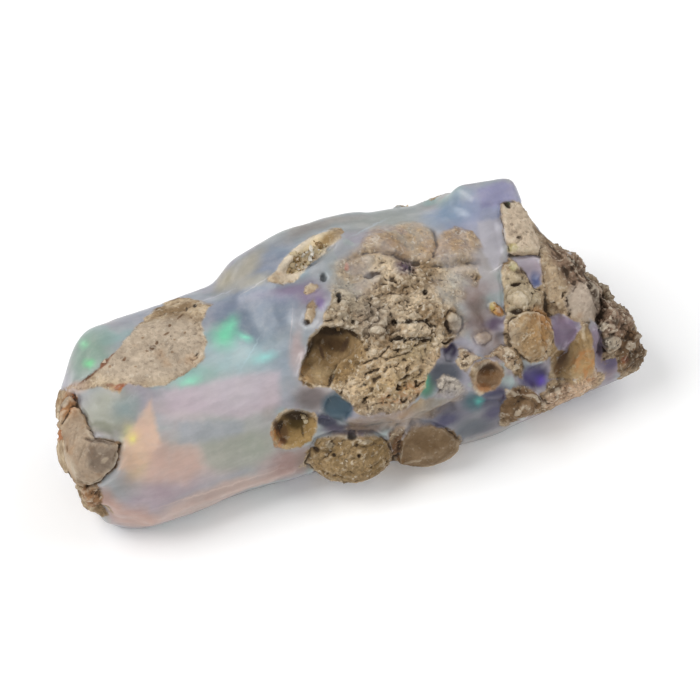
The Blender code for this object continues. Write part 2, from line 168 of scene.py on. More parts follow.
# Outlines on the front side, as (across, up) marks in mm.
OUTLINES = {
    "left_knob": (
        (-20.4, -2.68), (-19.71, -2.64), (-18.89, -2.68), (-18.27, -3.02), (-17.99, -3.71),
        (-17.65, -4.53), (-17.31, -5.22), (-16.83, -5.74), (-16.14, -5.88), (-15.45, -5.98),
        (-15.23, -6.21), (-15.32, -7.14), (-15.52, -7.83), (-16.14, -8.52), (-16.76, -9),
        (-16.9, -9.62), (-16.76, -10.3), (-16.62, -10.99), (-17.1, -11.29), (-18.2, -10.85),
        (-19.57, -9.34), (-20.4, -7.55), (-20.74, -5.49), (-20.74, -3.43),
    ),
    "lens_patch": (
        (-19.51, -2.61), (-18.27, -2.2), (-17.24, -1.44), (-16.21, -0.48), (-15.32, 0.48),
        (-14.42, 1.51), (-13.46, 2.61), (-12.57, 3.3), (-11.68, 3.61), (-11.06, 3.57), (-10.03, 3.3),
        (-9.27, 3.06), (-9.75, 2.47), (-10.03, 1.85), (-9.62, 0.62), (-9.75, -0.41), (-10.37, -1.17),
        (-11.26, -1.85), (-12.43, -2.4), (-13.8, -2.54), (-14.77, -2.34), (-15.25, -2.82),
        (-15.93, -2.75), (-16.55, -2.4), (-17.45, -2.61), (-18.54, -2.68),
    ),
    "pocket": (
        (-0.62, 8.45), (-0.48, 7.97), (-1.03, 7.21), (-1.85, 6.52), (-2.68, 5.84), (-3.23, 5.15),
        (-3.78, 4.53), (-4.74, 4.43), (-5.56, 4.53), (-5.7, 4.88), (-5.15, 5.43), (-4.46, 6.25),
        (-3.78, 7.01), (-2.95, 7.62), (-1.99, 8.04), (-1.3, 8.38),
    ),
    "mass": (
        (-1.3, 5.7), (-0.3, 6.4), (0.7, 7), (1, 7.8), (1.5, 8.3), (2.7, 8.4), (3.9, 8.8), (5, 8.7),
        (5.6, 8.1), (6, 7.7), (6.5, 8.2), (7.3, 8.5), (8.4, 8.2), (8.9, 7.4), (9.2, 7), (8.4, 6.6),
        (8.5, 5.7), (8.9, 5), (8.6, 4.3), (7.8, 4.5), (7.8, 3.4), (7.3, 3), (7.8, 2.3), (7.9, 1.3),
        (7.3, 0.8), (6.8, 0.3), (6.2, 0), (5.8, -1), (5.3, -1.6), (5, -2.4), (4.7, -3.2), (3.9, -4),
        (3, -4.3), (1.4, -4.5), (0.5, -4.4), (0.1, -3.9), (-0.6, -3.1), (-1.3, -2.6), (-3.2, -2.5),
        (-3.5, -1.8), (-3.3, -0.9), (-3, -0.1), (-2.9, 0.7), (-2.9, 0.8), (-1.9, 1.7), (-1.8, 2.4),
        (-1.3, 3.4), (-1.4, 4.3), (-1.1, 5.2),
    ),
    "mass_bits": (
        (-3.23, 3.91), (-3.09, 4.33), (-2.68, 4.6), (-2.27, 4.53), (-2.06, 4.26), (-2.47, 3.85),
        (-2.95, 3.71),
    ),
    "mass_bits2": (
        (-3.09, 1.85), (-3.02, 2.54), (-2.82, 3.16), (-2.47, 3.43), (-2.27, 2.95), (-2.27, 2.27),
        (-2.54, 1.79), (-2.88, 1.65),
    ),
    "small_hollow": (
        (-5.32, -5.15), (-4.95, -4.4), (-4.26, -3.98), (-3.23, -3.91), (-2.4, -4.19), (-2.16, -4.6),
        (-2.23, -5.56), (-2.54, -6.25), (-3.37, -6.7), (-4.4, -6.77), (-5.08, -6.52), (-5.36, -5.84),
    ),
    "oval": (
        (-2.68, -7.21), (-2.27, -6.11), (-1.17, -5.7), (0.21, -5.7), (1.65, -5.7), (2.61, -6.11),
        (3.02, -7.01), (2.82, -7.97), (1.79, -8.79), (0.27, -9.2), (-1.3, -9.07), (-2.4, -8.45),
        (-2.95, -7.62),
    ),
    "lens": (
        (2.95, -7.83), (3.71, -8.38), (4.95, -8.45), (6.39, -7.97), (7.62, -7.35), (7.69, -6.39),
        (6.73, -5.49), (5.49, -5.01), (4.33, -5.08), (3.78, -5.63), (3.43, -6.52), (3.3, -7.14),
    ),
    "cup": (
        (8.04, -1.58), (8.38, -0.96), (9.13, -0.55), (10.03, -0.69), (10.51, -1.24), (10.61, -1.92),
        (10.13, -2.51), (9.48, -2.92), (8.86, -3.06), (8.41, -2.78), (8.28, -2.06),
    ),
    "cup_lace": (
        (7.14, 0.34), (7.73, 0.17), (8.31, -0.12), (8.86, -0.41), (9.73, -0.12), (10.3, 0.34),
        (10.99, 0.34), (11.59, -0.25), (11.88, -0.82), (11.81, -1.99), (11.45, -1.83), (10.71, -1.24),
        (10.51, -0.82), (10.03, -0.55), (9.13, -0.41), (8.38, -0.82), (7.97, -1.55), (7.55, -1.37),
        (7.21, -0.96), (6.94, -0.41),
    ),
    "orange": (
        (11.47, 2.4), (12.29, 2.68), (13.05, 2.47), (13.6, 1.79), (14.01, 1.03), (14.05, 0.48),
        (13.6, 0), (13.05, -0.69), (12.29, -0.82), (11.61, -0.41), (10.99, 0.14), (10.71, 0.96),
        (10.78, 1.92),
    ),
    "cream": (
        (10.51, 6.04), (10.99, 6.39), (11.47, 5.91), (12.09, 5.15), (12.57, 4.26), (13.05, 4.12),
        (13.46, 3.64), (13.46, 2.88), (13.74, 2.4), (13.26, 2.4), (12.36, 2.75), (11.47, 2.54),
        (10.85, 2.2), (10.44, 2.61), (10.44, 4.12), (10.3, 5.36),
    ),
    "speck": (
        (9.4, 3.2), (9.8, 3.3), (10.3, 2.9), (10.6, 2.4), (10.1, 2.2), (9.6, 2.6),
    ),
    "slab": (
        (10.3, 10.05), (10.44, 8.62), (10.61, 7.62), (10.78, 6.73), (10.99, 6.52), (11.98, 6.46),
        (12.98, 6.59), (13.12, 7.07), (12.91, 7.97), (12.5, 8.86), (12.09, 9.55), (11.81, 10.1),
        (11.37, 10.23), (10.99, 10.3), (10.51, 10.23),
    ),
    "shoulder": (
        (13.12, 7.07), (13.46, 7.42), (14.22, 6.52), (14.73, 5.7), (15.11, 4.95), (15.49, 4.33),
        (15.25, 3.37), (14.73, 2.88), (14.22, 2.47), (13.74, 2.37), (13.46, 2.88), (13.46, 3.64),
        (13.36, 4.4), (13.3, 5.36), (13.05, 6.39),
    ),
    "grey_lump": (
        (14.9, 3.3), (15.18, 3.98), (15.66, 4.33), (16.21, 4.19), (16.76, 3.5), (17.1, 2.61),
        (16.76, 1.99), (16, 1.85), (15.25, 2.27),
    ),
    "fan": (
        (16.14, 1.99), (15.97, 1.58), (15.45, 0.76), (14.88, -0.12), (14.29, -0.48), (13.87, -0.27),
        (13.67, -0.55), (13.8, -1.37), (13.67, -1.99), (14.88, -2.09), (16, -2.06), (16.9, -1.89),
        (17.1, -0.96), (16.96, -0.12), (16.62, 0.89), (16.38, 1.72),
    ),
    "triangle": (
        (10.51, -2.68), (10.85, -2.75), (11.59, -2.34), (12.57, -2.78), (13.63, -3.69), (13.19, -4.33),
        (11.88, -4.74), (10.71, -5.36), (10.23, -5.15), (10.34, -3.85), (10.65, -3.41),
    ),
    "strip": (
        (13.63, -3.69), (13.46, -2.95), (13.6, -2.27), (13.87, -1.99), (14.88, -2.06), (16.9, -1.89),
        (17.58, -2.13), (16.62, -2.68), (15.32, -3.16), (14.01, -3.98), (13.26, -4.46), (13.12, -4.26),
    ),
    "crust": (
        (12.43, 9.2), (13.12, 8.38), (13.94, 7.69), (14.84, 7.01), (15.8, 6.18), (16.62, 5.36),
        (17.38, 4.33), (18.06, 3.3), (18.75, 2.4), (19.57, 1.72), (20.33, 1.1), (20.74, 0.41),
        (20.26, -0.21), (20.05, -0.76), (19.44, -1.3), (18.75, -1.51), (18.68, -0.82), (18.75, -0.41),
        (17.72, -0.27), (17.24, 0.34), (17.38, 1.17), (17.31, 2.06), (17.17, 2.61), (16.96, 3.23),
        (16.48, 3.91), (16, 4.67), (15.38, 5.43), (14.77, 6.18), (14.08, 7.01), (13.39, 7.76),
        (12.77, 8.45), (12.29, 9),
    ),
    "blue_window": (
        (-2, -4.1), (-1.4, -3.2), (-0.9, -3), (-0.4, -3.3), (0.3, -3.9), (-0.3, -4.9), (-0.7, -5.2),
        (-1.4, -4.9), (-2.1, -4.5),
    ),
    "skirt": (
        (-0.3, -5.4), (-0.1, -4.7), (0.7, -4.5), (2.3, -4.4), (3.2, -4.2), (4.1, -3.8), (4.7, -3.2),
        (5.7, -3.3), (6.9, -3.1), (7.6, -2.9), (7.8, -3.2), (6.9, -3.7), (6, -4.3), (4.6, -4.9),
        (3.2, -5.4), (1.4, -5.6),
    ),
    "star": (
        (3.3, 6.1), (3.9, 6.2), (4.6, 5.7), (4.7, 5.2), (4.1, 4.8), (3.5, 5.1),
    ),
    "violet_pit": (
        (6.4, 0), (6.9, 0.5), (7.4, 0.2), (7.3, -0.5), (6.8, -0.8), (6.4, -0.7),
    ),
    "window": (
        (11.06, 6.39), (11.95, 6.42), (13.02, 6.32), (13.26, 5.36), (13.12, 4.53), (12.64, 4.29),
        (12.09, 5.22), (11.47, 5.98),
    ),
    "lavender": (
        (13.74, 2.2), (14.42, 2.61), (15.11, 2.2), (15.73, 1.79), (15.93, 1.58), (15.45, 0.76),
        (14.9, 0), (14.29, 0), (14.11, 0.69), (13.94, 1.51),
    ),
    "right_mass": (
        (10.44, 10.03), (10.65, 10.23), (11.33, 10.37), (11.95, 10.1), (13.12, 8.38), (14.15, 7.28),
        (15.45, 6.04), (16.48, 4.81), (17.03, 3.43), (17.38, 2.06), (17.17, 1.58), (16.35, 1.72),
        (16.14, 1.99), (15.45, 0.76), (14.88, -0.12), (14.29, -0.55), (13.67, -0.55), (13.12, -0.82),
        (12.29, -0.96), (11.61, -0.55), (10.99, 0), (10.51, 0.34), (10.44, 1.03), (10.51, 2.4),
        (10.44, 4.12), (10.3, 5.36), (10.65, 6.04), (10.85, 6.59), (10.58, 7.55),
    ),
    "white_lace": (
        (5.8, -2.1), (6.3, -1.6), (7.1, -1.9), (7.7, -2.4), (7.9, -2.9), (7.3, -3.2), (6.4, -3.2),
        (5.9, -2.9),
    ),
    "hollow_floor": (
        (-2.82, 0.89), (-2.4, 1.17), (-1.72, 1.58), (-1.03, 1.72), (-0.21, 1.58), (0.62, 1.03),
        (1.03, 0.48), (1.1, 0.07), (0.34, -0.48), (-0.48, -0.89), (-1.03, -1.44), (-1.3, -2.13),
        (-1.58, -2.47), (-2.4, -2.4), (-3.23, -2.13), (-3.5, -1.58), (-3.23, -0.89), (-2.95, -0.07),
    ),
    "knob": (
        (-20.12, -6.87), (-19.85, -5.49), (-19.16, -4.12), (-18.61, -3.71), (-18.13, -3.43),
        (-17.65, -4.53), (-17.31, -5.22), (-16.83, -5.74), (-16.14, -5.88), (-15.45, -5.98),
        (-15.23, -6.21), (-15.32, -7.14), (-15.52, -7.83), (-16.14, -8.52), (-16.83, -8.93),
        (-17.79, -9.27), (-18.61, -9.07), (-19.23, -8.52), (-19.85, -7.83),
    ),
    "gap_rock": (
        (2.61, -5.49), (3.3, -5.08), (3.85, -5.08), (3.71, -5.84), (3.43, -6.66), (3.3, -7.28),
        (2.88, -7.83), (2.68, -7.55), (2.95, -7.01), (2.68, -6.18),
    ),
    "round_lump": (
        (6.52, 2.2), (6.8, 2.61), (7.28, 2.54), (7.62, 2.06), (7.62, 1.51), (7.28, 1.17), (6.8, 1.24),
        (6.52, 1.65),
    ),
    "pale_lump": (
        (8.31, 0.89), (8.72, 1.24), (9.34, 1.3), (9.68, 1.03), (9.62, 0.62), (9.13, 0.34),
        (8.59, 0.41),
    ),
    "foot": (
        (-18.96, -9.2), (-18.68, -8.79), (-17.72, -9.2), (-16.96, -9.0), (-16.62, -9.62),
        (-16.62, -10.44), (-16.35, -11.13), (-16.83, -11.4), (-17.65, -10.85), (-18.48, -10.03),
    ),
    "strip_window": (
        (16.41, 2.2), (16.96, 1.92), (17.31, 1.1), (17.51, 0.0), (17.45, -1.1), (17.03, -1.51),
        (16.9, -0.41), (16.62, 0.82),
    ),
}

# Outlines filled with host rock, each with how far it stands out and how deep its seam is, in mm, and
# how rough it is.
HOST_ROCK = {
    "left_knob": (0.0, 0.06, 0.4),
    "foot": (0.0, 0.04, 0.7),
    "knob": (0.14, 0.16, 0.22),
    "lens_patch": (0.02, 0.02, 0.42),
    "pocket": (0.05, 0.0, 0.25),
    "mass": (0.05, 0.0, 1.15),
    "mass_bits": (0.10, 0.05, 0.3),
    "mass_bits2": (0.06, 0.05, 0.3),
    "hollow_floor": (-0.30, 0.04, 0.3),
    "skirt": (0.0, 0.0, 0.1),
    "small_hollow": (0.0, 0.0, 0.28),
    "gap_rock": (-0.05, 0.0, 0.9),
    "oval": (0.02, 0.24, 0.75),
    "lens": (0.05, 0.18, 0.15),
    "cup_lace": (0.12, 0.05, 1.2),
    "cup": (0.0, 0.0, 0.25),
    "white_lace": (0.10, 0.0, 1.0),
    "speck": (0.12, 0.0, 0.6),
    "right_mass": (0.0, 0.0, 0.6),
    "cream": (0.10, 0.10, 0.6),
    "orange": (0.18, 0.12, 0.6),
    "slab": (0.16, 0.14, 0.5),
    "shoulder": (0.06, 0.08, 0.6),
    "fan": (0.06, 0.05, 0.25),
    "triangle": (0.04, 0.08, 0.5),
    "strip": (0.04, 0.0, 1.0),
    "crust": (-0.05, 0.10, 0.85),
    "grey_lump": (0.10, 0.05, 0.25),
    "round_lump": (0.22, 0.16, 0.4),
    "pale_lump": (0.16, 0.10, 0.25),
}

# Outlines of opal that shows through host rock: how far it stands out, in mm.
WINDOWS = {
    "blue_window": -0.25,
    "violet_pit": -0.35,
    "window": -0.15,
    "lavender": -0.10,
    "strip_window": -0.05,
}

# More host rock: a patch, and how rough it is.
HOST_ROCK_SPOTS = {
    "left_end_knob": (-1.2, -2.6, 2.4, 2.6, 0, "left", 0.8),
    "right_end": (-1.0, -2.6, 7.0, 4.6, 0, "right", 1.2),
    "back_right": (-8.0, -2.6, 5.6, 3.2, 8, "back", 1.0),
    "back_left": (9.0, -3.6, 4.6, 2.4, -10, "back", 1.0),
    "tip": (19.6, -0.3, 1.8, 1.6, 0, 0.9),
    "oval": (0.2, -7.8, 3.1, 1.9, 0, 0.5),
    "lens": (5.2, -7.2, 2.5, 1.6, 20, 0.15),
    "knob": (-18.3, -8.5, 1.4, 1.4, 0, 0.4),
    "low_right": (15.4, -2.9, 3.4, 1.1, 23, 0.8),
}

# Patches of host rock that a milky skin of opal covers.
VEILED = {
    "lump_left": (3.6, 7.6, 3.4, 1.8, 10),
    "lump_right": (7.4, 6.8, 2.2, 1.8, 0),
    "lump_low": (7.2, 4.2, 1.8, 1.5, 0),
    "mass_left_edge": (0.0, 5.2, 2.2, 2.2, -20),
    "skirt": (2.6, -4.9, 4.6, 0.9, 8),
    "skirt_right": (6.4, -3.6, 2.4, 0.9, 25),
    "mass_edge": (8.4, 1.6, 1.6, 1.8, 0),
}

# Patches of orange and red-brown stains.
RUSTY = {
    "knob_crack": (-19.6, -5.6, 0.5, 0.8, 0),
    "lens_spot": (-15.3, -2.5, 0.7, 0.35, 15),
    "hollow_stain": (-5.3, -6.1, 0.8, 1.0, 0),
    "speck": (10.1, 2.9, 0.7, 0.5, 0),
    "fan_foot": (16.4, -1.1, 1.2, 1.3, 0),
    "mass_foot": (3.4, -3.0, 1.6, 0.7, 20),
}

# Patches of painted shade in the host rock's hollows, cup and fan, and of darker rock along the crust's seam,
# gap and tip.
SHADE_AND_SEAM_PATCHES = {
    "big_hollow": (-1.9, 0.9, 1.5, 0.6, 15),
    "small_hollow": (-3.8, -4.5, 1.2, 0.5, 5),
    "cup": (9.3, -1.2, 0.8, 0.4, 0),
    "fan_hollow": (14.6, -0.6, 0.7, 1.4, -40),
    "crust_seam": (15.8, 5.6, 3.6, 0.25, -42),
    "crust_gap": (17.3, 2.6, 0.5, 1.8, 10),
    "crust_tip": (19.9, -0.7, 0.9, 1.0, 0),
}

# Patches in open hollows, where the pits' shade is lighter.
OPEN_HOLLOWS = {
    "big_hollow": (-1.3, -0.3, 2.7, 2.3, 30),
    "small_hollow": (-3.7, -5.4, 1.6, 1.4, 20),
    "cup": (9.4, -1.8, 1.3, 1.3, 0),
    "fan": (15.4, -1.0, 1.8, 2.0, 0),
    "grey_lump": (16.1, 3.1, 1.2, 1.3, 0),
    "pocket": (-2.9, 6.3, 3.0, 0.9, 38),
}

# Colours of host rock: a patch, its softness from 0 to 1, and its colour.
# Later ones lie over earlier ones.
HOST_TINTS = {
    "right_end": (-1.0, -2.6, 8.0, 5.6, 0, "right", 0.3, "#83705A"),
    "left_end": (-17.99, -7.55, 4.12, 5.15, 0, 0.3, "#8E7154"),
    "knob": (-17.72, -6.52, 2.06, 3.02, 20, 0.3, "#A18F7B"),
    # The knob's cap: partly its own darker grey-brown, partly painted shade.
    "knob_cap": (-16.41, -7.01, 1.17, 1.3, -10, 0.35, "#6C5D50"),
    "fold": (-19.09, -3.43, 1.1, 1.24, 20, 0.5, "#A17046"),
    "fold_pale": (-18.27, -2.4, 0.96, 0.69, 0, 0.8, "#B09A88"),
    "foot": (-17.45, -10.3, 1.51, 1.1, -40, 0.4, "#97704E"),
    "lens_patch": (-13.4, 0.2, 4.8, 3.2, 22, 0.3, "#B3A390"),
    "mass_left": (0.2, 3.6, 2.8, 2.6, 0, 0.6, "#A79378"),
    "mass_grey": (1.4, 2.2, 1.6, 1.4, 0, 0.6, "#948573"),
    "mass_lumps": (4.4, 7.6, 5.0, 1.6, 0, 0.5, "#AE906A"),
    "mass_low": (3.0, -2.0, 4.2, 2.2, 10, 0.6, "#BAA17E"),
    "skirt": (3.0, -4.8, 4.6, 1.0, 10, 0.4, "#8D7761"),
    "skirt_right": (6.6, -3.4, 2.2, 0.9, 20, 0.4, "#8F7F6A"),
    "oval": (0.2, -7.3, 3.4, 2.2, -3, 0.2, "#886F48"),
    "lens": (5.0, -6.6, 2.8, 1.9, 20, 0.2, "#6C5438"),
    "lace": (9.4, -0.2, 2.8, 1.2, 0, 0.4, "#9D856B"),
    "white_lace": (6.8, -2.4, 1.2, 0.9, 0, 0.4, "#ADA59C"),
    "cream": (11.7, 3.6, 1.6, 2.2, 0, 0.3, "#AB9B7F"),
    "speck": (9.9, 2.8, 0.7, 0.6, 0, 0.4, "#B98E4E"),
    "slab": (11.7, 8.2, 1.8, 2.4, 8, 0.3, "#C4B29C"),
    "shoulder": (14.1, 4.9, 1.3, 2.2, 20, 0.3, "#A48E72"),
    # The triangle: its own brown, darkened with painted shade.
    "triangle": (12.1, -3.9, 2.2, 1.6, 20, 0.3, "#6D5133"),
    "strip": (15.4, -2.9, 2.6, 0.9, 22, 0.3, "#BFA186"),
    "crust": (17.3, 3.6, 6.2, 1.7, -50, 0.3, "#866D5B"),
    "crust_tip": (19.7, 0.2, 1.5, 1.6, 0, 0.4, "#6E543A"),
    "pebble": (18.0, 0.5, 0.7, 0.5, 0, 0.3, "#554F47"),
    "grey_lump": (16.2, 3.3, 1.5, 1.5, 0, 0.3, "#B4A595"),
    "pocket": (-3.09, 6.46, 3.16, 1.37, 40, 0.3, "#D4C7B2"),
    "pocket_heart": (-2.54, 6.87, 2.06, 0.62, 42, 0.5, "#D2BE98"),
    "pocket_deep": (-1.51, 7.55, 0.96, 0.41, 40, 0.7, "#86693C"),
    "big_hollow": (-1.17, -0.41, 2.88, 2.34, 0, 0.2, "#967A51"),
    # The hollow's dark heart: painted shade.
    "big_hollow_heart": (-1.37, 0.48, 1.17, 0.96, 20, 0.7, "#5E4628"),
    "big_hollow_low": (-2.2, -1.51, 0.82, 0.41, 10, 0.8, "#A8906A"),
    "lump3": (7.21, 4.74, 1.1, 0.69, 10, 0.8, "#B8AB98"),
    "mass_foot": (3.78, -3.64, 2.88, 0.82, 8, 0.8, "#8C7B64"),
    "slab_low": (12.23, 6.52, 0.69, 0.55, 0, 0.8, "#BCA98C"),
    "big_hollow_foot": (-2.47, -1.79, 0.96, 0.69, 0, 0.7, "#B89E76"),
    "small_hollow": (-3.71, -5.43, 1.79, 1.58, 20, 0.2, "#967843"),
    "small_hollow_side": (-4.6, -5.63, 0.48, 0.82, 0, 0.6, "#6E5236"),
    "cup": (9.41, -1.79, 1.37, 1.37, 0, 0.2, "#96785A"),
    "orange": (12.36, 0.89, 1.85, 1.92, 10, 0.3, "#9A7E59"),
    "orange_heart": (12.91, 1.1, 0.96, 1.1, 10, 0.7, "#A47E4F"),
    "orange_grit": (11.13, 0.82, 0.62, 1.03, 0, 0.7, "#A08D74"),
    "orange_rim": (13.12, 2.2, 1.17, 0.55, -40, 0.6, "#BA8A58"),
    "fan": (15.38, -0.14, 1.79, 2.2, 0, 0.3, "#A48960"),
    # The fan's dark heart: painted shade in its hollow.
    "fan_heart": (14.56, -0.82, 0.62, 0.82, -20, 0.7, "#63492E"),
    "fan_foot": (16.48, -1.1, 0.76, 0.82, 0, 0.8, "#B08C5C"),
    "star": (3.71, 5.63, 0.76, 0.62, 0, 0.8, "#544660"),
    # A band of painted shade under the lumps.
    "band_under_lumps": (7.01, 6.11, 1.79, 0.34, 0, 0.8, "#8A7658"),
    "grey_left": (-0.34, 3.23, 1.24, 1.51, 0, 0.8, "#988C78"),
    "round_lump": (7.07, 1.85, 0.62, 0.69, 0, 0.4, "#9A8874"),
    "mass_sand": (4.46, 0.0, 1.79, 0.82, 25, 0.8, "#A7926F"),
    "mass_sand_low": (3.09, -2.4, 2.34, 0.96, 15, 0.8, "#A78F69"),
}

